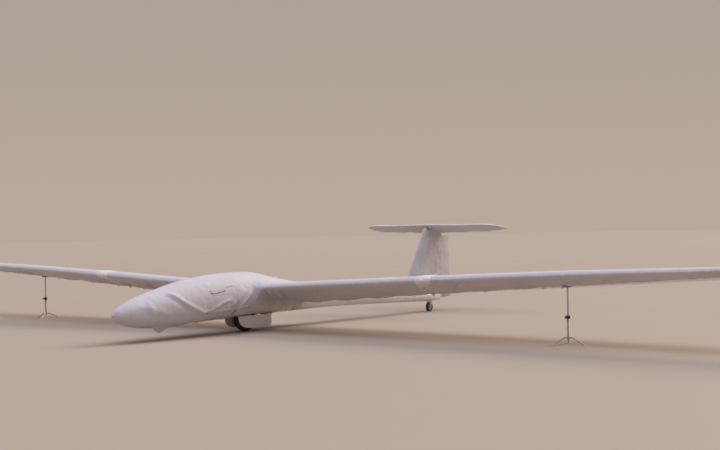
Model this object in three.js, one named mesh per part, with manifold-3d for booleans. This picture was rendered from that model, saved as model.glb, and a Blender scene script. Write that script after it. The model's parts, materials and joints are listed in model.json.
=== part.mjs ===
// A single-wheel T-tail sailplane, parked on its main wheel, its tail wheel and two wing stands.
// Its all-weather covers are on: one over the fuselage, and others over wings, fin and tailplane.
// Millimetres. +X points to the nose, +Y to the port wing tip, +Z up, with the ground at z = 0.
import * as THREE from 'three';
import { mergeVertices } from 'three/addons/utils/BufferGeometryUtils.js';
import Module from 'manifold-3d';

const wasm = await Module();
wasm.setup();

// Overall sizes
const LENGTH = 7800;
const SPAN = 18000;
const NOSE_X = LENGTH / 2;
const TAIL_X = -LENGTH / 2;
const GROUND = 0;

// Clearances
const TOUCH = 0.3;
const RUNNING = 6;
const BEARING = 0.5;

// Covers: a cloth skin drawn over the structure. The rounder the structure, the more it stands off
const SKIN_GAP = 0.8;
const SKIN = 3;
const SKIN_OUT = SKIN_GAP + SKIN;
const HULL_SKIN_GAP = 1.9;
const HULL_SKIN_OUT = HULL_SKIN_GAP + SKIN;

// Fuselage sections. Columns: x, lowest z, highest z, half width
const HULL = [
  [3880, 383, 407, 12],
  [3840, 338, 447, 55],
  [3720, 276, 514, 118],
  [3450, 218, 608, 188],
  [3100, 194, 697, 248],
  [2700, 196, 784, 287],
  [2250, 206, 842, 305],
  [1800, 214, 872, 310],
  [1450, 222, 872, 305],
  [1150, 227, 846, 290],
  [850, 232, 782, 262],
  [450, 240, 712, 215],
  [0, 246, 640, 168],
  [-600, 248, 548, 124],
  [-1500, 232, 458, 97],
  [-2400, 206, 388, 82],
  [-3150, 184, 348, 72],
  [-3500, 186, 332, 60],
];
const HULL_SIDES = 32;
const WIDEST_AT = 0.48;
const POD_END_X = 450;

// Fuselage cover. Columns: x, angle of the hem up from the keel, in degrees
const HEM = [
  [3840, 6],
  [3720, 6],
  [3450, 9],
  [3100, 15],
  [2700, 25],
  [2250, 38],
  [1800, 44],
  [1450, 48],
  [190, 52],
];
const COVER_SIDES = 30;

// Edge of the fuselage cover over the wing roots, from ahead of the wing aft. Columns: x, z
const COVER_OVER_WING = [
  [1372, 782],
  [1150, 774],
  [850, 700],
  [450, 600],
  [150, 530],
];

// Wing sections. Columns: y, leading edge x, leading edge z, chord, incidence to the ground,
// how far the cover's hem sags below the underside
const WING = [
  [100, 1346, 640, 1110, 13, 60],
  [2800, 1324, 778, 1010, 12.5, 45],
  [5300, 1300, 890, 880, 12, 26],
  [SPAN / 2, 1262, 1020, 470, 10, 10],
];
const INNER_END = 5300;
const HINGE_AT = 0.8;
const AILERON_START = 5314;
const AILERON_END = 8950;
const AILERON_NOSE = 0.025;
const TIP_ROUND = 60;
const WING_HEM_AT = 0.5;
const STRAP_Y = 3250;
const STRAP_WIDTH = 190;

// Wing profile in chords, from the leading edge aft. Columns: distance aft, height
const UPPER = [
  [0, 0],
  [0.012, 0.026],
  [0.05, 0.053],
  [0.12, 0.078],
  [0.25, 0.097],
  [0.4, 0.098],
  [0.55, 0.085],
  [0.7, 0.061],
  [0.8, 0.043],
  [0.9, 0.023],
  [1, 0.0025],
];
const LOWER = [
  [0.012, -0.016],
  [0.05, -0.031],
  [0.15, -0.045],
  [0.3, -0.046],
  [0.5, -0.033],
  [0.7, -0.014],
  [0.8, -0.007],
  [0.9, -0.004],
  [1, -0.0025],
];

// Fin and rudder. The hinge is upright
const FIN_BASE_Z = 250;
const FIN_TOP_Z = 1470;
const FIN_LEAD_BASE_X = -2411;
const FIN_LEAD_SLOPE = -0.607;
const FIN_HALF_BASE = 66;
const FIN_HALF_TOP = 44;
const RUDDER_HINGE_X = -3560;
const RUDDER_NOSE_BASE = 50;
const RUDDER_NOSE_TOP = 33;
const RUDDER_LOW_Z = 236;
const RUDDER_HIGH_Z = 1306;
const RUDDER_TOP_END_X = -3825;
const FIN_COVER_LOW_Z = 402;
const FIN_COVER_HIGH_Z = 1400;
const RUDDER_COVER_HIGH_Z = 1316;
const RUDDER_SEAM = 34;

// Tailplane and elevator. Columns: y, hinge to leading edge, hinge to trailing edge, half height
const TAIL_HINGE = [-3590, 1434];
const TAIL_TILT = 9.5;
const TAILPLANE = [
  [-1400, 262, 62, 14],
  [-1330, 318, 108, 23],
  [-700, 377, 133, 30],
  [0, 442, 160, 38],
  [700, 377, 133, 30],
  [1330, 318, 108, 23],
  [1400, 262, 62, 14],
];
const ELEVATOR_NOSE = 0.62;
const ELEVATOR_SEAM = 26;
const TAIL_HEM_AT = 0.42;
const ELEVATOR_EDGE = 2;

// Hinges of the control surfaces: a lug from the fixed surface carries a pin in the moving one
const LUG_HALF = 6;
const LUG_ROUND = 8;
const LUG_PIN = 3;
const LUG_ROOT = 4;
const NOTCH_HALF = 13;
const PIN_BITE = 9;
const AILERON_HINGES = [5700, 7130, 8560];
const ELEVATOR_HINGES = [-950, 0, 950];
const RUDDER_HINGES = [520, 1150];

// Main gear
const WHEEL_X = 1350;
const TYRE_RADIUS = 190;
const TYRE_HALF = 64;
const RIM_RADIUS = 112;
const AXLE_RADIUS = 12;
const FORK_INNER = 80;
const FORK_OUTER = 94;
const FORK_WIDTH = 74;
const FORK_BRIDGE_Z = 420;
const AXLE_END = 12;
const BAY_HALF_LENGTH = 362;
const BAY_HALF_WIDTH = 122;
const BAY_ROOF_Z = 480;

// Gear doors: each hangs open from a hinge along the edge of the wheel bay
const DOOR_LENGTH = 690;
const DOOR_CENTRE_X = 1278;
const DOOR_DEPTH = 180;
const DOOR_THICK = 7;
const DOOR_HINGE_Y = 138;
const DOOR_HINGE_Z = 236;
const DOOR_SPLAY = 7;
const DOOR_BARREL = 8;
const DOOR_PIN = 3;
const DOOR_FRONT_CORNER = { along: 240, up: 150 };
const DOOR_REAR_CORNER = { along: 150, up: 64 };
const DOOR_BARREL_SHORT = 46;
const DOOR_LUG = { length: 12, half: 9, top: 60, gap: 2 };

// Tail wheel
const TAIL_WHEEL_X = -3240;
const TAIL_TYRE_RADIUS = 82;
const TAIL_TYRE_HALF = 24;
const TAIL_RIM_RADIUS = 46;
const TAIL_AXLE_RADIUS = 6;
const TAIL_AXLE_HALF = 46;
const TAIL_FORK_INNER = 30;
const TAIL_FORK_OUTER = 37;
const TAIL_FORK_WIDTH = 44;
const TAIL_FORK_TOP_Z = 230;

// Wing stands
const STAND_X = 930;
const STAND_Y = 5300;
const STAND_FOOT_RADIUS = 205;
const STAND_HUB_Z = 92;
const STAND_TUBE_RADIUS = 17;
const STAND_TUBE_TOP = 350;
const STAND_POST_RADIUS = 11;
const STAND_CRADLE_Z = 722;
const STAND_TUBE_LOW = 60;
const STAND_LEG_RADIUS = 9;
const STAND_FOOT = { radius: 20, thick: 12 };
const CLAMP = { outer: 28, below: 24, above: 14 };
const KNOB = { stem: 7, out: 25, radius: 15, thick: 12, down: 6 };
const CRADLE = { halfLength: 45, halfWidth: 35, height: 90 };

// Middle line of a stand's leg. Columns: distance out from the post, height
const LEG_LINE = [
  [8, STAND_HUB_Z],
  [70, STAND_HUB_Z - 12],
  [140, STAND_HUB_Z - 46],
  [STAND_FOOT_RADIUS, STAND_LEG_RADIUS + 2],
];

// Colours, roughness and metalness of each finish
const FINISH = {
  gelcoat: [0xe9e6e2, 0.22, 0],
  cloth: [0xd9d6da, 0.85, 0],
  webbing: [0xc9c6c4, 0.8, 0],
  tyre: [0x1c1b1b, 0.9, 0],
  alloy: [0xa8a8aa, 0.4, 1],
  steel: [0x84868a, 0.35, 1],
  zinc: [0x9a9c9b, 0.5, 1],
  pad: [0x35383b, 0.95, 0],
};

const sailplane = new THREE.Group();
sailplane.name = 'sailplane';

const rad = THREE.MathUtils.degToRad;

// Adds one named piece in its finish to the sailplane
function piece(name, geometry, finish) {
  const [color, roughness, metalness] = FINISH[finish];
  const material = new THREE.MeshStandardMaterial({ color, roughness, metalness });
  const mesh = new THREE.Mesh(geometry, material);
  mesh.name = name;
  sailplane.add(mesh);
  return mesh;
}

// Keeps positions only, with shared corners merged
function weld(geometry) {
  const bare = new THREE.BufferGeometry();
  bare.setAttribute('position', geometry.getAttribute('position').clone());
  if (geometry.index) {
    bare.setIndex(geometry.index.clone());
  }
  return mergeVertices(bare, 1e-4);
}

function toSolid(geometry) {
  const bare = weld(geometry);
  return new wasm.Manifold(new wasm.Mesh({
    numProp: 3,
    vertProperties: new Float32Array(bare.getAttribute('position').array),
    triVerts: new Uint32Array(bare.index.array),
  }));
}

function toGeometry(solid) {
  const mesh = solid.getMesh();
  const geometry = new THREE.BufferGeometry();
  geometry.setAttribute('position', new THREE.BufferAttribute(mesh.vertProperties, 3));
  geometry.setIndex(new THREE.BufferAttribute(mesh.triVerts, 1));
  return geometry;
}

function cut(geometry, ...tools) {
  return toGeometry(tools.reduce((left, tool) => left.subtract(toSolid(tool)), toSolid(geometry)));
}

function join(...geometries) {
  const [first, ...rest] = geometries.map(toSolid);
  return toGeometry(rest.reduce((whole, solid) => whole.add(solid), first));
}

// Triangles that close a ring of points, wound the same way as the ring
function capOf(ring) {
  const low = new THREE.Box3().setFromPoints(ring);
  const size = low.getSize(new THREE.Vector3());
  const thin = ['x', 'y', 'z'].reduce((a, b) => (size[a] <= size[b] ? a : b));
  const [across, up] = ['x', 'y', 'z'].filter((name) => name !== thin);
  const flat = ring.map((p) => new THREE.Vector2(p[across], p[up]));
  const faces = THREE.ShapeUtils.triangulateShape(flat, []);
  const faceArea = faces.reduce((sum, face) => (
    sum + THREE.ShapeUtils.area(face.map((i) => flat[i]))), 0);
  const sameWay = Math.sign(faceArea) === Math.sign(THREE.ShapeUtils.area(flat));
  return sameWay ? faces : faces.map(([a, b, c]) => [a, c, b]);
}

// A closed skin through rings of equally many points, with a flat cap at either end
function loft(rings) {
  const count = rings[0].length;
  const positions = rings.flat().flatMap((p) => [p.x, p.y, p.z]);
  const faces = [];
  for (let r = 0; r + 1 < rings.length; r += 1) {
    for (let i = 0; i < count; i += 1) {
      const j = (i + 1) % count;
      const [a, b, c, d] = [r * count + i, r * count + j, (r + 1) * count + j, (r + 1) * count + i];
      faces.push([a, b, c], [a, c, d]);
    }
  }
  const last = (rings.length - 1) * count;
  capOf(rings[0]).forEach(([a, b, c]) => faces.push([a, c, b]));
  capOf(rings.at(-1)).forEach(([a, b, c]) => faces.push([a + last, b + last, c + last]));
  const geometry = new THREE.BufferGeometry();
  geometry.setAttribute('position', new THREE.Float32BufferAttribute(positions, 3));
  const volume = faces.reduce((sum, [a, b, c]) => {
    const [p, q, r] = [a, b, c].map((i) => new THREE.Vector3().fromArray(positions, 3 * i));
    return sum + p.dot(q.cross(r));
  }, 0);
  geometry.setIndex(faces.flatMap(([a, b, c]) => (volume > 0 ? [a, b, c] : [a, c, b])));
  return geometry;
}

function box(x0, x1, y0, y1, z0, z1) {
  const geometry = new THREE.BoxGeometry(x1 - x0, y1 - y0, z1 - z0);
  return geometry.translate((x0 + x1) / 2, (y0 + y1) / 2, (z0 + z1) / 2);
}

// A cylinder along one axis, 'x', 'y' or 'z', about a centre
function rod(axis, radius, length, centre, sides = 24) {
  const geometry = new THREE.CylinderGeometry(radius, radius, length, sides);
  if (axis === 'x') {
    geometry.rotateZ(Math.PI / 2);
  }
  if (axis === 'z') {
    geometry.rotateX(Math.PI / 2);
  }
  return geometry.translate(...centre);
}

// A turned ring from a closed profile of [radius, offset] pairs, about an axis along Y
function turned(outline, centre, sides = 40) {
  const closed = [...outline, outline[0]].map(([r, a]) => new THREE.Vector2(r, a));
  return new THREE.LatheGeometry(closed, sides).translate(...centre);
}

// Places geometry made about a hinge point, where x leads forward and y runs along the axis
function atHinge(geometry, { point, axis, forward }) {
  const along = axis.clone().normalize();
  const ahead = forward.clone().addScaledVector(along, -forward.dot(along)).normalize();
  const up = new THREE.Vector3().crossVectors(ahead, along);
  const place = new THREE.Matrix4().makeBasis(ahead, along, up).setPosition(point);
  return geometry.applyMatrix4(place);
}

// The lug and pin of each hinge, joined to the fixed surface that carries them
function withLugs(fixed, hinges) {
  const lugs = hinges.flatMap((hinge) => [
    box(0, hinge.reach + LUG_ROOT, -LUG_HALF, LUG_HALF, -LUG_HALF + 1, LUG_HALF - 1),
    rod('y', LUG_ROUND, 2 * LUG_HALF, [0, 0, 0], 16),
    rod('y', LUG_PIN, 2 * (NOTCH_HALF + PIN_BITE), [0, 0, 0], 12),
  ].map((part) => atHinge(part, hinge)));
  return join(fixed, ...lugs);
}

// The notches and bores in the moving surface that those lugs and pins stand in
function withNotches(moving, hinges) {
  const hollows = hinges.flatMap((hinge) => [
    box(-LUG_ROUND - RUNNING, 3 * hinge.reach, -NOTCH_HALF, NOTCH_HALF, -100, 100),
    rod('y', LUG_PIN + BEARING, 2 * (NOTCH_HALF + PIN_BITE + 1), [0, 0, 0], 12),
  ].map((part) => atHinge(part, hinge)));
  return cut(moving, ...hollows);
}

// A row of a table between two others, at a value of its first column
function rowAt(table, value) {
  const rising = table[0][0] < table.at(-1)[0];
  const next = table.findIndex(([key]) => (rising ? key >= value : key <= value));
  const b = next < 0 ? table.length - 1 : Math.max(next, 1);
  const t = (value - table[b - 1][0]) / (table[b][0] - table[b - 1][0]);
  return table[b].map((end, i) => table[b - 1][i] + t * (end - table[b - 1][i]));
}

// A point of a fuselage section, at an angle from the keel by way of port, grown outwards
function hullPoint([x, low, high, half], angle, grow = 0) {
  const middle = low + WIDEST_AT * (high - low);
  const upright = Math.cos(angle) > 0 ? middle - low : high - middle;
  const normal = new THREE.Vector2(Math.sin(angle) / half, -Math.cos(angle) / upright).normalize();
  return new THREE.Vector3(
    x,
    half * Math.sin(angle) + grow * normal.x,
    middle - upright * Math.cos(angle) + grow * normal.y,
  );
}

function hullRing(section, grow, sides) {
  return Array.from({ length: sides }, (_, i) => (
    hullPoint(section, (2 * Math.PI * i) / sides, grow)));
}

// The fuselage surface between two stations, grown outwards
function hullLoft(front, back, grow = 0, sides = HULL_SIDES) {
  const between = HULL.filter(([x]) => x < front && x > back);
  const sections = [rowAt(HULL, front), ...between, rowAt(HULL, back)];
  return loft(sections.map((section) => hullRing(section, grow, sides)));
}

// Everything that must keep clear of the fuselage is cut with this slightly larger copy
const hullTool = hullLoft(HULL[0][0], HULL.at(-1)[0], TOUCH);
const hullCoverTool = hullLoft(HULL[0][0], HULL.at(-1)[0], HULL_SKIN_OUT + TOUCH / 2, 4 * HULL_SIDES);

function fuselage() {
  const bay = box(WHEEL_X - BAY_HALF_LENGTH, WHEEL_X + BAY_HALF_LENGTH,
    -BAY_HALF_WIDTH, BAY_HALF_WIDTH, GROUND, BAY_ROOF_Z);
  piece('fuselage_pod', cut(hullLoft(HULL[0][0], POD_END_X + TOUCH), bay), 'gelcoat');
  piece('tail_boom', hullLoft(POD_END_X, HULL.at(-1)[0]), 'gelcoat');
}

// The fuselage cover: a cloth tube around the nose, open below from hem to hem
function fuselageCover() {
  const tip = [NOSE_X, HULL[0][1] + 10, HULL[0][2] - 10, 2];
  const stations = [...HEM.map(([x]) => x), ...HULL.map(([x]) => x)]
    .filter((x, i, all) => x >= HEM.at(-1)[0] && all.indexOf(x) === i)
    .sort((a, b) => b - a);
  const sections = [tip, ...stations.map((x) => rowAt(HULL, x))];
  const rings = sections.map((section) => {
    const hem = rad(rowAt(HEM, Math.min(section[0], HEM[0][0]))[1]);
    const angles = Array.from({ length: COVER_SIDES + 1 }, (_, i) => (
      hem + ((2 * Math.PI - 2 * hem) * i) / COVER_SIDES));
    const outer = angles.map((angle) => hullPoint(section, angle, HULL_SKIN_OUT));
    const inner = angles.map((angle) => hullPoint(section, angle, HULL_SKIN_GAP));
    return [...outer, ...inner.reverse()];
  });
  const [[front], [back]] = [COVER_OVER_WING[0], COVER_OVER_WING.at(-1)];
  const below = new THREE.Shape([[front, GROUND], ...COVER_OVER_WING, [back, GROUND]]
    .map(([x, z]) => new THREE.Vector2(x, z)));
  const opening = new THREE.ExtrudeGeometry(below, { depth: 1000, bevelEnabled: false });
  opening.rotateX(Math.PI / 2).translate(0, 500, 0);
  piece('fuselage_cover', cut(loft(rings), opening, hullTool), 'cloth');
}

// The loose flap of the cover that hangs below the nose
function noseFlap() {
  const outline = new THREE.Shape([
    [3250, 280], [2950, 280], [2985, 170], [3105, 100], [3215, 150],
  ].map(([x, z]) => new THREE.Vector2(x, z)));
  const sheet = new THREE.ExtrudeGeometry(outline, { depth: SKIN, bevelEnabled: false });
  sheet.rotateX(Math.PI / 2).translate(0, 84, 0);
  piece('nose_flap', cut(sheet, hullCoverTool), 'cloth');
}

// A closed or open path of profile points moved outwards by a distance
function offsetPath(path, distance) {
  return path.map((point, i) => {
    const before = path[Math.max(i - 1, 0)];
    const after = path[Math.min(i + 1, path.length - 1)];
    const along = new THREE.Vector2().subVectors(after, before).normalize();
    return new THREE.Vector2(point.x - along.y * distance, point.y + along.x * distance);
  });
}

// The profile height at a distance aft, in chords
function heightAt(table, aft) {
  return rowAt(table, aft)[1];
}

// The wing profile in millimetres, from the top at one distance aft over the leading edge
// to the underside at another
function profile(chord, topEnd, lowEnd) {
  const top = [...UPPER.filter(([aft]) => aft < topEnd), [topEnd, heightAt(UPPER, topEnd)]];
  const low = lowEnd > LOWER[0][0]
    ? [...LOWER.filter(([aft]) => aft < lowEnd), [lowEnd, heightAt(LOWER, lowEnd)]]
    : [];
  return [...top.reverse(), ...low].map(([aft, up]) => new THREE.Vector2(aft * chord, up * chord));
}

// Places profile points of a wing section: side is 1 to port and -1 to starboard
function onWing([y, leadX, leadZ, , incidence], points, side) {
  const tilt = rad(incidence);
  return points.map((p) => new THREE.Vector3(
    leadX - p.x * Math.cos(tilt) - p.y * Math.sin(tilt),
    side * y,
    leadZ - p.x * Math.sin(tilt) + p.y * Math.cos(tilt),
  ));
}

const wingAt = (y) => rowAt(WING, y);

// The hinge point of the aileron at a span station, in the wing profile's own millimetres
function hingeOf(chord) {
  const up = (heightAt(UPPER, HINGE_AT) + heightAt(LOWER, HINGE_AT)) / 2;
  return new THREE.Vector2(HINGE_AT * chord, up * chord);
}

function aileronHinges(side) {
  const [start, end] = [AILERON_START, AILERON_END].map((y) => {
    const section = wingAt(y);
    return onWing(section, [hingeOf(section[3])], side)[0];
  });
  const axis = end.clone().sub(start).multiplyScalar(side);
  return AILERON_HINGES.map((y) => {
    const [, , , chord, incidence] = wingAt(y);
    const tilt = rad(incidence);
    const share = (y - AILERON_START) / (AILERON_END - AILERON_START);
    return {
      point: start.clone().lerp(end, share),
      axis,
      forward: new THREE.Vector3(Math.cos(tilt), 0, Math.sin(tilt)),
      reach: AILERON_NOSE * chord + RUNNING + 1,
    };
  });
}

// A wing panel between span stations, its chord ending at a distance aft that may vary
function wingPanel(stations, side, endOf, grow = 0) {
  return loft(stations.map((y) => {
    const section = wingAt(y);
    const end = endOf(section[3]);
    const path = profile(section[3], end, end);
    return onWing(section, grow ? offsetPath(path, grow) : path, side);
  }));
}

// A path round a wing section moved outwards, its lower end sagging as far as the cover's hem
function hung([, , , chord, , sag], path, standOff) {
  const nose = path.findIndex((p) => p.x === 0);
  return offsetPath(path, -standOff).map((p, i) => {
    const share = i > nose ? Math.max(p.x, 0) / (WING_HEM_AT * chord) : 0;
    return new THREE.Vector2(p.x, p.y - sag * share * share);
  });
}

// Cloth over a wing panel: from the top at one distance aft, round the leading edge, to the hem
function wingSkin(stations, side, topEndOf, standOff, thick) {
  return loft(stations.map((y) => {
    const section = wingAt(y);
    const chord = section[3];
    const path = profile(chord, topEndOf(chord), WING_HEM_AT);
    const outer = hung(section, path, standOff + thick);
    const inner = hung(section, path, standOff);
    return onWing(section, [...outer, ...inner.reverse()], side);
  }));
}

const fullChord = () => 1;
const aheadOfAileron = (chord) => HINGE_AT - AILERON_NOSE - (RUNNING + 1) / chord;
const coverAheadOfAileron = (chord) => HINGE_AT - AILERON_NOSE - 2 * RUNNING / chord;

function aileron(side) {
  return loft([AILERON_START, AILERON_END].map((y) => {
    const section = wingAt(y);
    const chord = section[3];
    const hinge = hingeOf(chord);
    const nose = Array.from({ length: 9 }, (_, i) => {
      const turn = Math.PI / 2 - (Math.PI * i) / 8;
      return new THREE.Vector2(
        hinge.x - AILERON_NOSE * chord * Math.cos(turn),
        hinge.y + AILERON_NOSE * chord * Math.sin(turn),
      );
    });
    const edge = [LOWER, UPPER].map((table) => new THREE.Vector2(chord, heightAt(table, 1) * chord));
    return onWing(section, [...nose, ...edge], side);
  }));
}

// Cloth over the top of the aileron, from its seam at the hinge to the trailing edge
function aileronSkin(side) {
  return loft([AILERON_START + RUNNING, AILERON_END - RUNNING].map((y) => {
    const section = wingAt(y);
    const chord = section[3];
    const path = [1, 0.92, HINGE_AT + 0.03].map((aft) => (
      new THREE.Vector2(aft * chord, heightAt(UPPER, aft) * chord)));
    const outer = offsetPath(path, -SKIN_OUT);
    const inner = offsetPath(path, -SKIN_GAP);
    return onWing(section, [...outer, ...inner.reverse()], side);
  }));
}

function wings() {
  [['left', 1], ['right', -1]].forEach(([hand, side]) => {
    const inner = [WING[0][0], WING[1][0], INNER_END];
    const outerStart = INNER_END + TOUCH;
    const tipStart = WING.at(-1)[0] - TIP_ROUND;
    piece(`wing_inner_${hand}`, cut(wingPanel(inner, side, fullChord), hullTool), 'gelcoat');
    const hinges = aileronHinges(side);
    const outer = wingPanel([outerStart, tipStart], side, aheadOfAileron);
    piece(`wing_outer_${hand}`, withLugs(outer, hinges), 'gelcoat');
    piece(`aileron_${hand}`, withNotches(aileron(side), hinges), 'gelcoat');
    const innerSkin = wingSkin(inner, side, fullChord, SKIN_GAP, SKIN);
    piece(`wing_cover_inner_${hand}`, cut(innerSkin, hullCoverTool), 'cloth');
    piece(`wing_cover_outer_${hand}`,
      wingSkin([outerStart, WING.at(-1)[0]], side, coverAheadOfAileron, SKIN_GAP, SKIN), 'cloth');
    piece(`aileron_cover_${hand}`, aileronSkin(side), 'cloth');
    const strap = [STRAP_Y - STRAP_WIDTH / 2, STRAP_Y + STRAP_WIDTH / 2];
    piece(`wing_strap_${hand}`,
      wingSkin(strap, side, () => WING_HEM_AT, SKIN_OUT + TOUCH, SKIN), 'webbing');
  });
}

// Half thickness of the fin's profile in shares of its largest. Columns: share aft, share of half
const FIN_PROFILE = [
  [0, 0],
  [0.02, 0.3],
  [0.08, 0.6],
  [0.2, 0.88],
  [0.36, 1],
  [0.6, 0.92],
  [0.8, 0.78],
];
const PROFILE_STOP = FIN_PROFILE.at(-1)[0];

function finSection(z) {
  const t = (z - FIN_BASE_Z) / (FIN_TOP_Z - FIN_BASE_Z);
  const lead = FIN_LEAD_BASE_X + FIN_LEAD_SLOPE * (z - FIN_BASE_Z);
  return {
    z,
    lead,
    half: THREE.MathUtils.lerp(FIN_HALF_BASE, FIN_HALF_TOP, t),
    nose: THREE.MathUtils.lerp(RUDDER_NOSE_BASE, RUDDER_NOSE_TOP, t),
  };
}

// One side of the fin from its leading edge to a stop ahead of the rudder's rounded nose
function finSide({ lead, half, nose }, clearance) {
  const end = RUDDER_HINGE_X + nose + clearance;
  const length = lead - end;
  return FIN_PROFILE.map(([aft, share]) => (
    new THREE.Vector2(lead - (aft / PROFILE_STOP) * length, share * half)));
}

function mirrorPath(path) {
  return path.map((p) => new THREE.Vector2(p.x, -p.y)).reverse();
}

function fin(lowZ, highZ, grow = 0) {
  const rings = [lowZ, highZ].map((z) => {
    const port = finSide(finSection(z), RUNNING + 1);
    const path = [...mirrorPath(port), ...port.slice(1)];
    return (grow ? offsetPath(path, -grow) : path).map((p) => new THREE.Vector3(p.x, p.y, z));
  });
  return loft(rings);
}

// Cloth round the front of the fin, open aft along the seam at the rudder's hinge
function finSkin() {
  const rings = [FIN_COVER_LOW_Z, FIN_COVER_HIGH_Z].map((z) => {
    const port = finSide(finSection(z), 2 * RUNNING);
    const path = [...mirrorPath(port), ...port.slice(1)];
    const outer = offsetPath(path, -SKIN_OUT);
    const inner = offsetPath(path, -SKIN_GAP);
    return [...outer, ...inner.reverse()].map((p) => new THREE.Vector3(p.x, p.y, z));
  });
  return loft(rings);
}

const RUDDER_END_HALF = 3;

// The rudder's trailing edge, which leans forward towards the top
function rudderEnd(z) {
  const share = (z - RUDDER_LOW_Z) / (RUDDER_HIGH_Z - RUDDER_LOW_Z);
  return THREE.MathUtils.lerp(TAIL_X, RUDDER_TOP_END_X, share);
}

function rudder() {
  const rings = [RUDDER_LOW_Z, RUDDER_HIGH_Z].map((z) => {
    const { nose } = finSection(z);
    const front = Array.from({ length: 13 }, (_, i) => {
      const turn = Math.PI / 2 - (Math.PI * i) / 12;
      return [RUDDER_HINGE_X + nose * Math.cos(turn), nose * Math.sin(turn)];
    });
    const end = rudderEnd(z);
    const ring = [...front, [end, -RUDDER_END_HALF], [end, RUDDER_END_HALF]];
    return ring.map(([x, y]) => new THREE.Vector3(x, y, z));
  });
  return loft(rings);
}

// Cloth round the rudder from the seam to the trailing edge and back
function rudderSkin() {
  const rings = [FIN_COVER_LOW_Z, RUDDER_COVER_HIGH_Z].map((z) => {
    const { nose } = finSection(z);
    const seamX = RUDDER_HINGE_X - RUDDER_SEAM;
    const end = rudderEnd(z);
    const share = RUDDER_SEAM / (RUDDER_HINGE_X - end);
    const half = THREE.MathUtils.lerp(nose, RUDDER_END_HALF, share);
    const wrap = (grow) => [
      [seamX, half + grow],
      [end - grow, RUDDER_END_HALF + grow],
      [end - grow, -RUDDER_END_HALF - grow],
      [seamX, -half - grow],
    ];
    return [...wrap(SKIN_OUT), ...wrap(SKIN_GAP).reverse()]
      .map(([x, y]) => new THREE.Vector3(x, y, z));
  });
  return loft(rings);
}

// Places points given ahead of and above the tailplane's hinge line, which is tilted nose up
function onTail(y, points) {
  const tilt = rad(TAIL_TILT);
  const [hingeX, hingeZ] = TAIL_HINGE;
  return points.map((p) => new THREE.Vector3(
    hingeX + p.x * Math.cos(tilt) - p.y * Math.sin(tilt),
    y,
    hingeZ + p.x * Math.sin(tilt) + p.y * Math.cos(tilt),
  ));
}

// The tailplane's upper side from its leading edge to a stop ahead of the elevator's nose
function tailSide([, ahead, , half], clearance) {
  const stop = ELEVATOR_NOSE * half + clearance;
  const length = ahead - stop;
  return FIN_PROFILE.map(([aft, share]) => (
    new THREE.Vector2(ahead - (aft / PROFILE_STOP) * length, share * half)));
}

function tailplane(grow = 0) {
  return loft(TAILPLANE.map((row) => {
    const upper = tailSide(row, RUNNING + 1 - grow);
    const path = [...mirrorPath(upper), ...upper.slice(1)];
    return onTail(row[0], grow ? offsetPath(path, -grow) : path);
  }));
}

function tailplaneSkin() {
  return loft(TAILPLANE.map((row) => {
    const upper = tailSide(row, 2 * RUNNING);
    const keep = upper.filter((p) => p.x > TAIL_HEM_AT * row[1]);
    const path = [...mirrorPath(keep), ...upper.slice(1)];
    const outer = offsetPath(path, -SKIN_OUT);
    const inner = offsetPath(path, -SKIN_GAP);
    return onTail(row[0], [...outer, ...inner.reverse()]);
  }));
}

function elevator() {
  return loft(TAILPLANE.map(([y, , behind, half]) => {
    const nose = ELEVATOR_NOSE * half;
    const front = Array.from({ length: 9 }, (_, i) => {
      const turn = -Math.PI / 2 + (Math.PI * i) / 8;
      return new THREE.Vector2(nose * Math.cos(turn), nose * Math.sin(turn));
    });
    const edge = [ELEVATOR_EDGE, -ELEVATOR_EDGE].map((up) => new THREE.Vector2(-behind, up));
    return onTail(y, [...front, ...edge]);
  }));
}

function elevatorSkin() {
  return loft(TAILPLANE.slice(1, -1).map(([y, , behind, half]) => {
    const nose = ELEVATOR_NOSE * half;
    const seamUp = THREE.MathUtils.lerp(nose, ELEVATOR_EDGE, ELEVATOR_SEAM / behind);
    const strip = (grow) => [
      new THREE.Vector2(-ELEVATOR_SEAM, seamUp + grow),
      new THREE.Vector2(-behind, ELEVATOR_EDGE + grow),
    ];
    return onTail(y, [...strip(SKIN_OUT), ...strip(SKIN_GAP).reverse()]);
  }));
}

function rudderHinges() {
  return RUDDER_HINGES.map((z) => ({
    point: new THREE.Vector3(RUDDER_HINGE_X, 0, z),
    axis: new THREE.Vector3(0, 0, 1),
    forward: new THREE.Vector3(1, 0, 0),
    reach: finSection(z).nose + RUNNING + 1,
  }));
}

function elevatorHinges() {
  const tilt = rad(TAIL_TILT);
  return ELEVATOR_HINGES.map((y) => ({
    point: onTail(y, [new THREE.Vector2(0, 0)])[0],
    axis: new THREE.Vector3(0, 1, 0),
    forward: new THREE.Vector3(Math.cos(tilt), 0, Math.sin(tilt)),
    reach: ELEVATOR_NOSE * rowAt(TAILPLANE, y)[3] + RUNNING + 1,
  }));
}

function tail() {
  const finTool = fin(FIN_COVER_HIGH_Z - 60, FIN_TOP_Z + TOUCH, SKIN_OUT + TOUCH);
  const finBody = cut(fin(FIN_BASE_Z, FIN_TOP_Z), hullTool, tailplane(TOUCH));
  piece('fin', withLugs(finBody, rudderHinges()), 'gelcoat');
  piece('rudder', withNotches(rudder(), rudderHinges()), 'gelcoat');
  const finCore = fin(FIN_BASE_Z, FIN_TOP_Z, TOUCH);
  piece('fin_cover', cut(finSkin(), finCore), 'cloth');
  piece('rudder_cover', rudderSkin(), 'cloth');
  piece('tailplane', withLugs(tailplane(), elevatorHinges()), 'gelcoat');
  piece('elevator', withNotches(elevator(), elevatorHinges()), 'gelcoat');
  piece('tailplane_cover', cut(tailplaneSkin(), finTool, tailplane(TOUCH)), 'cloth');
  piece('elevator_cover', elevatorSkin(), 'cloth');
}

const FORK_FOOT = 2.2;

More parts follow.
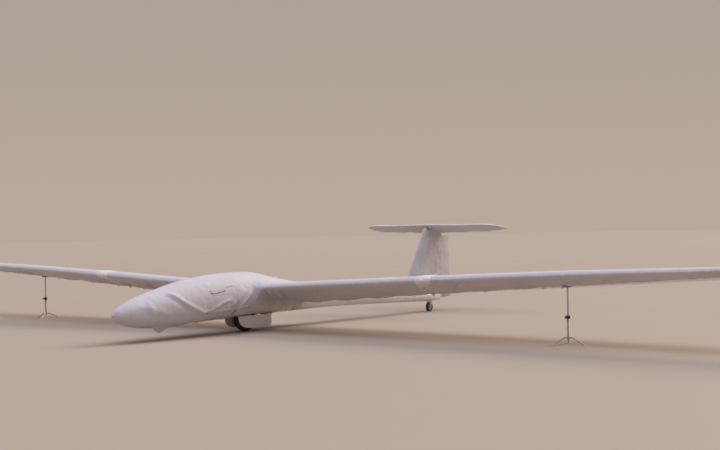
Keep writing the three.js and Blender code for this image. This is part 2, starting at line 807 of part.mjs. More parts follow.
// A fork of two legs and a bridge over a wheel, bored for its axle
function fork(x, width, inner, outer, axleZ, bridgeZ, topZ, boreRadius) {
  const footZ = axleZ - FORK_FOOT * boreRadius;
  const outline = new THREE.Shape([
    [-outer, footZ], [-inner, footZ], [-inner, bridgeZ], [inner, bridgeZ],
    [inner, footZ], [outer, footZ], [outer, topZ], [-outer, topZ],
  ].map(([y, z]) => new THREE.Vector2(y, z)));
  const geometry = new THREE.ExtrudeGeometry(outline, { depth: width, bevelEnabled: false });
  geometry.rotateX(Math.PI / 2).rotateZ(Math.PI / 2).translate(x - width / 2, 0, 0);
  return cut(geometry, rod('y', boreRadius + TOUCH, 3 * outer, [x, 0, axleZ]));
}

// Half a tyre's section. Columns: share of the way from rim to tread, share of half width
const TYRE_SHAPE = [
  [0, 0.72],
  [0.1, 0.9],
  [0.5, 1],
  [0.83, 0.86],
  [0.965, 0.5],
  [1, 0.2],
];

// Half a rim's section. Columns: share of the way from bore to rim edge, share of half width
const RIM_SHAPE = [
  [0, 0.8],
  [0.17, 0.8],
  [0.2, 0.35],
  [0.8, 0.3],
  [0.84, 0.72],
  [1, 0.76],
];

// The closed section of a ring from an inner to an outer radius, by one of those tables
function ringProfile(shape, inner, outer, half) {
  const side = shape.map(([out, wide]) => [inner + out * (outer - inner), wide * half]);
  return [...side.map(([r, a]) => [r, -a]), ...side.reverse()];
}

function mainGear() {
  const centre = [WHEEL_X, 0, TYRE_RADIUS];
  const rim = ringProfile(RIM_SHAPE, AXLE_RADIUS + BEARING, RIM_RADIUS - TOUCH, TYRE_HALF);
  const tyre = ringProfile(TYRE_SHAPE, RIM_RADIUS, TYRE_RADIUS, TYRE_HALF);
  piece('gear_fork', fork(WHEEL_X, FORK_WIDTH, FORK_INNER, FORK_OUTER, TYRE_RADIUS, FORK_BRIDGE_Z,
    BAY_ROOF_Z - TOUCH, AXLE_RADIUS), 'alloy');
  piece('main_axle', rod('y', AXLE_RADIUS, 2 * (FORK_OUTER + AXLE_END), centre), 'steel');
  piece('main_rim', turned(rim, centre), 'alloy');
  piece('main_tyre', turned(tyre, centre), 'tyre');
}

// A gear door: a rounded panel that hangs from a barrel along its upper edge
function gearDoor(side) {
  const half = DOOR_LENGTH / 2;
  const [front, rear] = [DOOR_FRONT_CORNER, DOOR_REAR_CORNER];
  const shape = new THREE.Shape();
  shape.moveTo(-half, 0);
  shape.lineTo(-half, -DOOR_DEPTH + rear.up);
  shape.quadraticCurveTo(-half, -DOOR_DEPTH, -half + rear.along, -DOOR_DEPTH);
  shape.lineTo(half - front.along, -DOOR_DEPTH);
  shape.quadraticCurveTo(half, -DOOR_DEPTH, half, -DOOR_DEPTH + front.up);
  shape.lineTo(half, 0);
  shape.closePath();
  const panel = new THREE.ExtrudeGeometry(shape, {
    depth: DOOR_THICK, bevelEnabled: false, curveSegments: 6,
  });
  panel.rotateX(Math.PI / 2).translate(0, DOOR_THICK / 2, 0);
  const barrel = rod('x', DOOR_BARREL, DOOR_LENGTH - DOOR_BARREL_SHORT, [0, 0, 0], 16);
  const door = join(panel, barrel);
  door.rotateX(rad(side * DOOR_SPLAY));
  door.translate(DOOR_CENTRE_X, side * DOOR_HINGE_Y, DOOR_HINGE_Z);
  const pin = rod('x', DOOR_PIN + BEARING, 2 * DOOR_LENGTH,
    [DOOR_CENTRE_X, side * DOOR_HINGE_Y, DOOR_HINGE_Z], 16);
  return cut(door, pin);
}

// The door's hinge: a pin between two lugs that stand down from the belly
function doorHinge(side) {
  const y = side * DOOR_HINGE_Y;
  const { length, half, top, gap } = DOOR_LUG;
  const reach = (DOOR_LENGTH + length) / 2 + gap;
  const lugs = [-1, 1].map((end) => {
    const x = DOOR_CENTRE_X + end * reach;
    return box(x - length / 2, x + length / 2, y - half, y + half,
      DOOR_HINGE_Z - DOOR_BARREL, DOOR_HINGE_Z + top);
  });
  const pin = rod('x', DOOR_PIN, 2 * reach, [DOOR_CENTRE_X, y, DOOR_HINGE_Z], 16);
  return cut(join(pin, ...lugs), hullTool);
}

function gearDoors() {
  [['left', 1], ['right', -1]].forEach(([hand, side]) => {
    piece(`gear_door_${hand}`, gearDoor(side), 'gelcoat');
    piece(`gear_door_hinge_${hand}`, doorHinge(side), 'steel');
  });
}

function tailWheel() {
  const centre = [TAIL_WHEEL_X, 0, TAIL_TYRE_RADIUS];
  const bore = TAIL_AXLE_RADIUS + BEARING;
  const rim = ringProfile(RIM_SHAPE, bore, TAIL_RIM_RADIUS - TOUCH, TAIL_TYRE_HALF);
  const tyre = ringProfile(TYRE_SHAPE, TAIL_RIM_RADIUS, TAIL_TYRE_RADIUS, TAIL_TYRE_HALF);
  const rawFork = fork(TAIL_WHEEL_X, TAIL_FORK_WIDTH, TAIL_FORK_INNER, TAIL_FORK_OUTER,
    TAIL_TYRE_RADIUS, 2 * TAIL_TYRE_RADIUS + RUNNING, TAIL_FORK_TOP_Z, TAIL_AXLE_RADIUS);
  piece('tail_fork', cut(rawFork, hullTool), 'alloy');
  piece('tail_axle', rod('y', TAIL_AXLE_RADIUS, 2 * TAIL_AXLE_HALF, centre, 16), 'steel');
  piece('tail_rim', turned(rim, centre, 24), 'alloy');
  piece('tail_tyre', turned(tyre, centre, 32), 'tyre');
}

// A bowed leg of a stand, from the hub down to its foot
function standLeg(turn) {
  const route = new THREE.CatmullRomCurve3(LEG_LINE.map(([out, z]) => (
    new THREE.Vector3(out * Math.cos(turn), out * Math.sin(turn), z))));
  const round = new THREE.Shape().absarc(0, 0, STAND_LEG_RADIUS, 0, 2 * Math.PI);
  const leg = new THREE.ExtrudeGeometry(round, { steps: 10, extrudePath: route, curveSegments: 4 });
  const end = [STAND_FOOT_RADIUS * Math.cos(turn), STAND_FOOT_RADIUS * Math.sin(turn)];
  return [leg, rod('z', STAND_FOOT.radius, STAND_FOOT.thick, [...end, STAND_FOOT.thick / 2], 16)];
}

// An upright rod of a stand from one height to another, about the stand's own middle
function upright(radius, low, high) {
  return rod('z', radius, high - low, [0, 0, (low + high) / 2]);
}

// The collar that grips the post where it slides out of the tube, with its clamping knob
function standClamp() {
  const collar = new THREE.LatheGeometry([
    [STAND_TUBE_RADIUS + TOUCH, -CLAMP.below],
    [CLAMP.outer, -CLAMP.below],
    [CLAMP.outer, CLAMP.above],
    [STAND_POST_RADIUS + TOUCH, CLAMP.above],
    [STAND_POST_RADIUS + TOUCH, TOUCH],
    [STAND_TUBE_RADIUS + TOUCH, TOUCH],
    [STAND_TUBE_RADIUS + TOUCH, -CLAMP.below],
  ].map(([r, z]) => new THREE.Vector2(r, z)), 16).rotateX(Math.PI / 2);
  const stemStart = (STAND_TUBE_RADIUS + CLAMP.outer) / 2;
  const stemEnd = CLAMP.outer + KNOB.out;
  const stemMiddle = [(stemStart + stemEnd) / 2, 0, -KNOB.down];
  const stem = rod('x', KNOB.stem, stemEnd - stemStart, stemMiddle, 12);
  const knob = rod('x', KNOB.radius, KNOB.thick, [stemEnd, 0, -KNOB.down], 12);
  return join(collar, stem, knob);
}

function stands() {
  [['left', 1], ['right', -1]].forEach(([hand, side]) => {
    const place = [STAND_X, side * STAND_Y, 0];
    const legs = [0, 1, 2].flatMap((i) => standLeg(rad(side * (120 * i + 90))));
    const tube = upright(STAND_TUBE_RADIUS, STAND_TUBE_LOW, STAND_TUBE_TOP);
    const post = upright(STAND_POST_RADIUS, STAND_TUBE_TOP + TOUCH, STAND_CRADLE_Z - TOUCH);
    const clamp = standClamp().translate(0, 0, STAND_TUBE_TOP);
    const block = box(-CRADLE.halfLength, CRADLE.halfLength, -CRADLE.halfWidth, CRADLE.halfWidth,
      STAND_CRADLE_Z, STAND_CRADLE_Z + CRADLE.height).translate(...place);
    piece(`stand_base_${hand}`, join(tube, ...legs).translate(...place), 'zinc');
    piece(`stand_post_${hand}`, post.translate(...place), 'zinc');
    piece(`stand_clamp_${hand}`, clamp.translate(...place), 'pad');
    piece(`stand_cradle_${hand}`, cut(block, wingEnvelope(side)), 'pad');
  });
}

// The space inside and just round the wing's cover, which a stand's cradle is shaped to
function wingEnvelope(side) {
  return loft(WING.map(([y]) => {
    const section = wingAt(y);
    const path = profile(section[3], WING_HEM_AT, WING_HEM_AT);
    return onWing(section, hung(section, path, SKIN_OUT + TOUCH), side);
  }));
}

fuselage();
fuselageCover();
noseFlap();
wings();
tail();
mainGear();
gearDoors();
tailWheel();
stands();

export default sailplane;
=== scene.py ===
"""Dresses the parked sailplane: cloth covers, gelcoat shell, wheels, gear doors and wing stands.

Everything is in metres in the sailplane's own frame: +X to the nose, +Y to port, +Z up from the ground.
"""
import json
import logging
import math
from collections.abc import Sequence
from dataclasses import dataclass, field
from enum import Enum

import bpy
import numpy as np
from mathutils import Matrix, Vector, noise


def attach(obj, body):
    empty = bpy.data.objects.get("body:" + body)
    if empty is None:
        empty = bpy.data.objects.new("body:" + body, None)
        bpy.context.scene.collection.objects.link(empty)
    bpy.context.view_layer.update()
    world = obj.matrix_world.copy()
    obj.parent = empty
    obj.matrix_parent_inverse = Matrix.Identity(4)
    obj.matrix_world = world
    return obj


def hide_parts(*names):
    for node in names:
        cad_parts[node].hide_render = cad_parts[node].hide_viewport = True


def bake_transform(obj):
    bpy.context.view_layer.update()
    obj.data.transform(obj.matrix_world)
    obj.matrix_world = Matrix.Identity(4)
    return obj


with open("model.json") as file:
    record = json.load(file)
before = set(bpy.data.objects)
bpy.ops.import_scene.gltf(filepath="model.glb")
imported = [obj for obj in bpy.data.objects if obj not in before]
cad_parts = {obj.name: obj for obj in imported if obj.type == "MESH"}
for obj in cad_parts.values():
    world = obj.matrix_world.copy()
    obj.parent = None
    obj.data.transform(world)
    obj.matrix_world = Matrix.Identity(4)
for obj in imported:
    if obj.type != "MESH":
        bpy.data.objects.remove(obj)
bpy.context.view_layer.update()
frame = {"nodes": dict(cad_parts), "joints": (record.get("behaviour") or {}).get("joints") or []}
LOG = logging.getLogger("sailplane")

Pair = tuple[float, float]
Triple = tuple[float, float, float]
Colour = tuple[float, float, float]
Socket = bpy.types.NodeSocket
Material = bpy.types.Material
Piece = bpy.types.Object

CLOTH_UV = "cloth"
HEM_GAP = "hem_gap"
SMOOTH_METAL = 38.0
MOST_DIP = 0.002
PIPING = 0.0045


class Side(Enum):
    """Which hand of the sailplane a piece belongs to."""

    LEFT = 1
    RIGHT = -1

    @property
    def label(self) -> str:
        """The hand as it stands in node and joint names."""
        return self.name.lower()


class Slot(Enum):
    """The record's material slots."""

    GELCOAT = "gelcoat"
    CLOTH = "cover_cloth"
    WEBBING = "webbing"
    TYRE = "tyre"
    ALLOY = "alloy"
    STEEL = "steel"
    ZINC = "zinc"
    PAD = "pad"


class Graph:
    """One material's node tree, with short calls to add nodes and join them."""

    def __init__(self, name: str) -> None:
        """Starts a material with its Principled shader.

        Args:
            name: The material's name.
        """
        self.material = bpy.data.materials.new(name)
        self.material.use_nodes = True
        self.tree = self.material.node_tree
        self.shader = next(n for n in self.tree.nodes if n.type == "BSDF_PRINCIPLED")

    def add(self, kind: str, inputs: dict | None = None, **settings: object) -> bpy.types.Node:
        """Adds a node.

        Args:
            kind: The node's type after "ShaderNode".
            inputs: Socket names or numbers, each with a value or with a socket to join it to.
            settings: The node's own settings.

        Returns:
            The new node.
        """
        node = self.tree.nodes.new("ShaderNode" + kind)
        for name, value in settings.items():
            setattr(node, name, value)
        for socket, value in (inputs or {}).items():
            self.feed(node.inputs[socket], value)
        return node

    def feed(self, socket: Socket, value: object) -> None:
        """Sets a socket's value, or joins it to another socket.

        Args:
            socket: The input.
            value: The value, or the socket that feeds it.
        """
        if isinstance(value, Socket):
            self.tree.links.new(value, socket)
        else:
            socket.default_value = value

    def shade(self, **inputs: object) -> None:
        """Sets or joins inputs of the shader; an underscore stands for a space in their names."""
        for name, value in inputs.items():
            self.feed(self.shader.inputs[name.replace("_", " ")], value)

    def maths(self, operation: str, first: object, second: object = 0.0) -> Socket:
        """Adds a Math node and returns its result."""
        return self.add("Math", {0: first, 1: second}, operation=operation).outputs[0]

    def plus(self, first: object, second: object) -> Socket:
        """Adds up two values."""
        return self.maths("ADD", first, second)

    def times(self, first: object, second: object) -> Socket:
        """Multiplies two values."""
        return self.maths("MULTIPLY", first, second)

    def apart(self, first: object, second: object) -> Socket:
        """Takes the distance between two values."""
        return self.maths("ABSOLUTE", self.maths("SUBTRACT", first, second))

    def wave(self, value: object, length: float) -> Socket:
        """Takes the sine of a value in metres, with a wavelength."""
        return self.maths("SINE", self.times(value, 2 * math.pi / length))

    def place(self) -> Socket:
        """Adds object coordinates and returns them."""
        return self.add("TexCoord").outputs["Object"]

    def sheet(self) -> Socket:
        """Adds the piece's own UV map, which is in metres, and returns it."""
        return self.add("UVMap", uv_map=CLOTH_UV).outputs[0]

    def scaled(self, vector: Socket, scale: Triple) -> Socket:
        """Stretches coordinates along their axes."""
        return self.add("Mapping", {"Vector": vector, "Scale": scale}).outputs[0]

    def noise(self, vector: Socket, scale: float, detail: float = 3.0,
              roughness: float = 0.5) -> Socket:
        """Adds a noise texture and returns its value."""
        return self.add("TexNoise", {"Vector": vector, "Scale": scale, "Detail": detail,
                                     "Roughness": roughness}).outputs[0]

    def between(self, share: object, low: Sequence[float], high: Sequence[float]) -> Socket:
        """Mixes two colours.

        Args:
            share: How much of the second colour there is, from 0 to 1, as a value or socket.
            low: The first colour.
            high: The second colour.

        Returns:
            The mixed colour.
        """
        node = self.add("Mix", {"Factor": share}, data_type="RGBA")
        node.inputs[6].default_value = (*low, 1)
        node.inputs[7].default_value = (*high, 1)
        return node.outputs[2]

    def spread(self, value: Socket, low: float, high: float,
               to_low: float = 0.0, to_high: float = 1.0) -> Socket:
        """Maps a value's range to another range, clamped."""
        return self.add("MapRange", {0: value, 1: low, 2: high, 3: to_low, 4: to_high}).outputs[0]

    def bump(self, height: Socket, depth: float, strength: float,
             under: Socket | None = None) -> Socket:
        """Adds a bump.

        Args:
            height: The relief, from 0 to 1.
            depth: Its depth in metres.
            strength: How strongly it shows.
            under: Another bump that this one lies over.

        Returns:
            The bumped normal.
        """
        inputs = {"Height": height, "Distance": depth, "Strength": strength}
        if under is not None:
            inputs["Normal"] = under
        return self.add("Bump", inputs).outputs[0]


@dataclass(frozen=True)
class ClothFinish:
    """Coated ripstop cover cloth: weave, crumple, hem stitching and a little soiling."""

    name: str
    clean: Colour = (0.56, 0.545, 0.59)
    soiled: Colour = (0.43, 0.40, 0.39)
    seam_every: float = 1.45
    lap: float = 0.012
    hem: float = 0.026
    stitch: float = 0.006
    weave: float = 0.005

    def make(self) -> Material:
        """Makes the finish.

        Returns:
            The material.
        """
        g = Graph(self.name)
        place, uv = g.place(), g.sheet()
        split = g.add("SeparateXYZ", {0: uv})
        along, across = split.outputs[0], split.outputs[1]
        gap = g.add("Attribute", attribute_name=HEM_GAP).outputs["Fac"]
        past_seam = g.maths("MODULO", g.plus(along, 20 * self.seam_every), self.seam_every)
        from_seam = g.apart(past_seam, self.seam_every / 2)
        lap = g.spread(from_seam, self.lap - 0.002, self.lap, 1, 0)
        folded = g.spread(gap, self.hem - 0.001, self.hem + 0.001, 1, 0)
        from_row = g.maths("MINIMUM", g.apart(from_seam, 0.004), g.apart(gap, self.hem - 0.006))
        stitches = g.spread(g.wave(g.plus(along, across), self.stitch), -0.6, 0.2)
        thread = g.times(g.spread(from_row, 0.0006, 0.0014, 1, 0), stitches)
        patches = g.noise(place, 1.7, 4)
        streaks = g.noise(g.scaled(place, (2, 2, 14)), 1.3, 4)
        soiling = g.times(g.spread(patches, 0.45, 0.75), g.spread(streaks, 0.35, 0.75))
        edge_soiling = g.times(g.spread(gap, 0.0, 0.22, 0.4, 0), streaks)
        share = g.plus(g.plus(g.times(soiling, 0.5), edge_soiling), g.times(thread, 0.45))
        ripstop = g.maths("MAXIMUM", *[
            g.spread(g.wave(axis, self.weave), 0.86, 1.0) for axis in (along, across)])
        crumple = g.add("TexVoronoi", {"Vector": uv, "Scale": 9.0, "Randomness": 1.0},
                        feature="DISTANCE_TO_EDGE").outputs[0]
        ripples = g.noise(g.scaled(uv, (1.0, 0.55, 1.0)), 13, 5)
        normal = g.bump(g.times(g.spread(crumple, 0, 0.25), 0.5), 0.005, 0.45)
        normal = g.bump(ripples, 0.010, 0.60, normal)
        normal = g.bump(g.plus(g.times(g.plus(folded, lap), 0.5), thread), 0.0012, 0.8, normal)
        normal = g.bump(ripstop, 0.0003, 0.5, normal)
        g.shade(Base_Color=g.between(share, self.clean, self.soiled),
                Roughness=g.spread(patches, 0.3, 0.7, 0.52, 0.66),
                Normal=normal, Sheen_Weight=0.25, Sheen_Roughness=0.5, Specular_IOR_Level=0.4)
        return g.material


@dataclass(frozen=True)
class WebbingFinish:
    """Woven strap: a fine twill across its width, with worn patches."""

    name: str
    colour: Colour = (0.52, 0.50, 0.50)
    worn: Colour = (0.34, 0.31, 0.30)
    rib: float = 0.0032

    def make(self) -> Material:
        """Makes the finish.

        Returns:
            The material.
        """
        g = Graph(self.name)
        split = g.add("SeparateXYZ", {0: g.sheet()})
        ribs = g.wave(g.plus(split.outputs[0], g.times(split.outputs[1], 0.5)), self.rib)
        wear = g.noise(g.place(), 24, 4)
        g.shade(Base_Color=g.between(g.spread(wear, 0.4, 0.8), self.colour, self.worn),
                Roughness=g.spread(wear, 0.3, 0.7, 0.7, 0.85),
                Normal=g.bump(ribs, 0.0005, 0.6), Sheen_Weight=0.2)
        return g.material


@dataclass(frozen=True)
class GelcoatFinish:
    """Polished white gelcoat with a faint ripple, road film and a dusty underside."""

    name: str
    white: Colour = (0.72, 0.70, 0.67)
    dusty: Colour = (0.42, 0.37, 0.31)

    def make(self) -> Material:
        """Makes the finish.

        Returns:
            The material.
        """
        g = Graph(self.name)
        place = g.place()
        height = g.add("SeparateXYZ", {0: place}).outputs[2]
        film = g.noise(place, 3.2, 5)
        specks = g.noise(place, 130, 3)
        low = g.spread(height, 0.02, 0.42, 0.45, 0.04)
        dust = g.plus(g.times(low, g.spread(specks, 0.45, 0.7)), g.times(g.spread(film, 0.5, 0.8), 0.18))
        g.shade(Base_Color=g.between(dust, self.white, self.dusty),
                Roughness=g.spread(film, 0.3, 0.7, 0.16, 0.3),
                Normal=g.bump(g.noise(place, 9, 2), 0.0009, 0.25),
                Coat_Weight=0.4, Coat_Roughness=0.06)
        return g.material


@dataclass(frozen=True)
class RubberFinish:
    """Tyre rubber, dusty in patches."""

    name: str
    black: Colour = (0.018, 0.017, 0.017)
    dusty: Colour = (0.11, 0.09, 0.07)

    def make(self) -> Material:
        """Makes the finish.

        Returns:
            The material.
        """
        g = Graph(self.name)
        place = g.place()
        dust = g.noise(place, 30, 5, 0.65)
        g.shade(Base_Color=g.between(g.spread(dust, 0.42, 0.72), self.black, self.dusty),
                Roughness=g.spread(dust, 0.3, 0.7, 0.72, 0.92),
                Normal=g.bump(g.noise(place, 420, 3), 0.0004, 0.5), Specular_IOR_Level=0.3)
        return g.material


@dataclass(frozen=True)
class MetalFinish:
    """A metal with spangle or grain, dulled in patches."""

    name: str
    bright: Colour
    dull: Colour
    roughness: float
    metallic: float = 1.0
    grain: float = 90.0

    def make(self) -> Material:
        """Makes the finish.

        Returns:
            The material.
        """
        g = Graph(self.name)
        place = g.place()
        spangle = g.add("TexVoronoi", {"Vector": place, "Scale": self.grain}).outputs["Distance"]
        patches = g.noise(place, 17, 5, 0.6)
        share = g.plus(g.times(spangle, 0.4), g.spread(patches, 0.45, 0.75, 0, 0.7))
        g.shade(Base_Color=g.between(share, self.bright, self.dull), Metallic=self.metallic,
                Roughness=g.spread(patches, 0.3, 0.7, self.roughness, self.roughness + 0.2),
                Normal=g.bump(g.noise(place, self.grain * 2, 3), 0.0003, 0.35))
        return g.material


@dataclass(frozen=True)
class PadFinish:
    """Soft dark foam and moulded knobs, pitted and scuffed."""

    name: str
    colour: Colour = (0.035, 0.036, 0.04)
    scuffed: Colour = (0.13, 0.12, 0.11)

    def make(self) -> Material:
        """Makes the finish.

        Returns:
            The material.
        """
        g = Graph(self.name)
        place = g.place()
        pits = g.noise(place, 260, 3)
        scuffs = g.noise(place, 28, 4)
        g.shade(Base_Color=g.between(g.spread(scuffs, 0.5, 0.75), self.colour, self.scuffed),
                Roughness=g.spread(scuffs, 0.3, 0.7, 0.75, 0.92), Normal=g.bump(pits, 0.0008, 0.6))
        return g.material


@dataclass(frozen=True)
class FloorFinish:
    """A plain pale floor that fades into the sky far away."""

    name: str
    far: Colour
    colour: Colour = (0.41, 0.335, 0.270)
    fade: Pair = (25.0, 120.0)

    def make(self) -> Material:
        """Makes the finish.

        Returns:
            The material.
        """
        g = Graph(self.name)
        place = g.place()
        distance = g.add("VectorMath", {0: place}, operation="LENGTH").outputs["Value"]
        share = g.spread(distance, *self.fade)
        g.shade(Base_Color=g.between(share, self.colour, (0.0, 0.0, 0.0)),
                Roughness=g.spread(g.noise(place, 0.4, 3), 0.3, 0.7, 0.75, 0.9),
                Specular_IOR_Level=g.spread(distance, *self.fade, 0.3, 0.0),
                Emission_Color=(*self.far, 1), Emission_Strength=share)
        return g.material


class Finishes:
    """Every finish of the sailplane, each made once."""

    def __init__(self) -> None:
        """Makes the materials."""
        self.cloth = ClothFinish("cover_cloth").make()
        self.unsewn = ClothFinish("cover_cloth_one_width", seam_every=8.0).make()
        self.piping = WebbingFinish("piping", (0.74, 0.71, 0.70), (0.55, 0.51, 0.49), 0.002).make()
        self.webbing = WebbingFinish("webbing").make()
        self.band = WebbingFinish("band", (0.82, 0.80, 0.81), (0.64, 0.61, 0.61), 0.004).make()
        self.saddle = PadFinish("saddle", (0.22, 0.20, 0.19), (0.34, 0.30, 0.27)).make()
        self.elastic = WebbingFinish("elastic", (0.06, 0.06, 0.065), (0.14, 0.13, 0.12), 0.0024).make()
        self.zip = WebbingFinish("zip", (0.13, 0.11, 0.11), (0.24, 0.21, 0.20), 0.003).make()
        self.gelcoat = GelcoatFinish("gelcoat").make()
        self.rubber = RubberFinish("rubber").make()
        self.alloy = MetalFinish("alloy", (0.55, 0.55, 0.56), (0.33, 0.32, 0.31), 0.32).make()
        self.steel = MetalFinish("steel", (0.42, 0.42, 0.43), (0.20, 0.18, 0.17), 0.3, grain=160).make()
        self.zinc = MetalFinish("zinc", (0.62, 0.60, 0.57), (0.42, 0.38, 0.34), 0.5, 0.55, 55).make()
        self.pad = PadFinish("pad").make()

    def of_slot(self, slot: Slot) -> Material:
        """Finds the finish that one of the record's slots takes.

        Args:
            slot: The slot.

        Returns:
            The finish.
        """
        return {Slot.GELCOAT: self.gelcoat, Slot.CLOTH: self.cloth, Slot.WEBBING: self.webbing,
                Slot.TYRE: self.rubber, Slot.ALLOY: self.alloy, Slot.STEEL: self.steel,
                Slot.ZINC: self.zinc, Slot.PAD: self.pad}[slot]


@dataclass(frozen=True)
class Ride:
    """How a piece moves: with one body; a piece given a second body and hinge points is left unparented,
    with its transform baked into its mesh.
    """

    body: str
    second: str | None = None
    start: Vector | None = None
    end: Vector | None = None

    def carry(self, piece: Piece) -> None:
        """Puts a finished piece on its body; a piece with a second body is only baked in place.

        Args:
            piece: The piece.
        """
        if self.second is None:
            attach(piece, self.body)
        else:
            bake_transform(piece)


ROOT = Ride("root")


def only(piece: Piece) -> None:
    """Leaves one piece selected and active.

    Args:
        piece: The piece.
    """
    bpy.ops.object.select_all(action="DESELECT")
    piece.select_set(True)
    bpy.context.view_layer.objects.active = piece


def placed(name: str, data: bpy.types.ID) -> Piece:
    """Makes an object and links it to the scene.

    Args:
        name: Its name.
        data: Its mesh, curve, lamp or camera.

    Returns:
        The object.
    """
    piece = bpy.data.objects.new(name, data)
    bpy.context.scene.collection.objects.link(piece)
    return piece


def smooth(piece: Piece, degrees: float) -> None:
    """Smooths a piece over edges up to an angle."""
    only(piece)
    bpy.ops.object.shade_smooth_by_angle(angle=math.radians(degrees))


def apply_modifier(piece: Piece, kind: str, **settings: object) -> None:
    """Adds a modifier and applies it.

    Args:
        piece: The piece that takes it.
        kind: The modifier's type.
        settings: Its settings.
    """
    only(piece)
    modifier = piece.modifiers.new(kind.lower(), kind)
    for name, value in settings.items():
        setattr(modifier, name, value)
    bpy.ops.object.modifier_apply(modifier=modifier.name)


def finish_piece(piece: Piece, material: Material, ride: Ride,
                 replaces: Sequence[str] = ()) -> Piece:
    """Dresses a piece and reports it.

    Args:
        piece: The piece.
        material: Its finish.
        ride: What it moves with.
        replaces: The nodes that it stands for.

    Returns:
        The piece.
    """
    piece.data.materials.clear()
    piece.data.materials.append(material)
    ride.carry(piece)
    if replaces:
        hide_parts(*replaces)
    LOG.info("%s: %d faces, on %s", piece.name, len(piece.data.polygons), ride.body)
    return piece


def on_curve(knots: Sequence[float], values: np.ndarray, at: np.ndarray) -> np.ndarray:
    """Reads a table between its rows on a smooth curve through them.

    Args:
        knots: The rows' places, rising.
        values: One value or one row of values for each knot.
        at: The places to read.

    Returns:
        The values there, with the table's columns last.
    """
    knots, values, at = (np.asarray(x, float) for x in (knots, values, at))
    slopes = np.gradient(values, knots, axis=0)
    i = np.clip(np.searchsorted(knots, at) - 1, 0, len(knots) - 2)
    width = knots[i + 1] - knots[i]
    t = np.clip((at - knots[i]) / width, 0, 1)
    if values.ndim > 1:
        width, t = width[..., None], t[..., None]
    near, far = values[i], values[i + 1]
    start, end = slopes[i] * width, slopes[i + 1] * width
    cube, square = t ** 3, t ** 2
    return ((2 * cube - 3 * square + 1) * near + (cube - 2 * square + t) * start
            + (3 * square - 2 * cube) * far + (cube - square) * end)


def smooth_line(points: Sequence[Sequence[float]], count: int) -> np.ndarray:
    """Draws a smooth curve through points and returns it as a number of points."""
    return on_curve(np.linspace(0, 1, len(points)), points, np.linspace(0, 1, count))


@dataclass(frozen=True)
class Folds:
    """Sharp-crested folds all over a sheet: height, spacing and length, and how far they turn in degrees."""

    height: float
    size: Pair
    turn: float

    def rise(self, along: np.ndarray, across: np.ndarray, seed: float) -> np.ndarray:
        """How far the cloth rises at each place.

        Args:
            along: Places along the sheet, in metres.
            across: Places across it.
            seed: A number that sets where the folds fall.

        Returns:
            The rise.
        """
        a, c = math.cos(math.radians(self.turn)), math.sin(math.radians(self.turn))
        u = (along * a + across * c) / self.size[0]
        v = (across * a - along * c) / self.size[1]
        out = np.empty(u.size)
        for i, (x, y) in enumerate(zip(u.ravel(), v.ravel())):
            coarse = noise.noise(Vector((x, y, seed)))
            fine = noise.noise(Vector((2.3 * x, 1.7 * y, seed + 9)))
            out[i] = (1 - abs(2 * coarse)) ** 2 + 0.35 * (1 - abs(2 * fine)) ** 2
        return self.height * out.reshape(u.shape) / 1.35


def bell(distance: np.ndarray, width: float) -> np.ndarray:
    """A smooth hump of height 1 about zero."""
    return np.exp(-(distance / width) ** 2)


def step(value: np.ndarray, start: float, end: float) -> np.ndarray:
    """A smooth step from 0 at the start to 1 at the end."""
    t = np.clip((value - start) / (end - start), 0, 1)
    return t * t * (3 - 2 * t)


def from_line(along: np.ndarray, across: np.ndarray, line: np.ndarray) -> tuple[np.ndarray, np.ndarray]:
    """Measures places on a sheet from a line drawn on it.

    Args:
        along: Places along the sheet.
        across: Places across it.
        line: The line's points, each with its place along and across.

    Returns:
        The distance to the line, above zero on its left, and how far down the line the nearest point is.
    """
    lengths = np.linalg.norm(np.diff(line, axis=0), axis=1)
    run = np.concatenate([[0], np.cumsum(lengths)]) / lengths.sum()
    best, side, share = (np.full(along.shape, value) for value in (np.inf, 1.0, 0.0))
    for i, (start, end) in enumerate(zip(line[:-1], line[1:])):
        way = end - start
        t = np.clip(((along - start[0]) * way[0] + (across - start[1]) * way[1]) / (way @ way), 0, 1)
        off_along, off_across = along - start[0] - t * way[0], across - start[1] - t * way[1]
        gap = np.hypot(off_along, off_across)
        nearer = gap < best
        best = np.where(nearer, gap, best)
        side = np.where(nearer, np.sign(way[0] * off_across - way[1] * off_along), side)
        share = np.where(nearer, run[i] + t * (run[i + 1] - run[i]), share)
    return best * side, share


@dataclass(frozen=True)
class Crease:
    """A fold that a tie pulls into a sheet: a ridge along a line, with a hollow on its left."""

    line: tuple[Pair, ...]
    height: float = 0.010
    width: float = 0.022
    hollow: float = 0.6
    fade: float = 0.2

    def rise(self, along: np.ndarray, across: np.ndarray, line: np.ndarray) -> np.ndarray:
        """How far the cloth rises at each place.

        Args:
            along: Places along the sheet.
            across: Places across it.
            line: The crease's line, in the sheet's own places.

        Returns:
            The rise.
        """
        gap, share = from_line(along, across, smooth_line(line, 24))
        ends = step(share, 0, self.fade) * step(1 - share, 0, self.fade)
        shape = bell(gap, self.width) - self.hollow * bell(gap - 2.1 * self.width, 1.3 * self.width)
        return self.height * ends * (shape + 0.7 * self.hollow * bell(gap - self.width, 4 * self.width))


def raised(points: np.ndarray, rise: np.ndarray, outward: np.ndarray) -> np.ndarray:
    """Moves a grid's points along its own normals, and hardly inwards.

    Args:
        points: The grid.
        rise: How far each point moves.
        outward: A direction at each point that tells which way is out.

    Returns:
        The moved points.
    """
    normal = np.cross(np.gradient(points, axis=0), np.gradient(points, axis=1))
    normal /= np.maximum(np.linalg.norm(normal, axis=-1, keepdims=True), 1e-12)
    normal *= np.sign(np.sum(normal * outward, axis=-1, keepdims=True))
    return points + normal * np.where(rise < 0, MOST_DIP * np.tanh(rise / MOST_DIP), rise)[..., None]


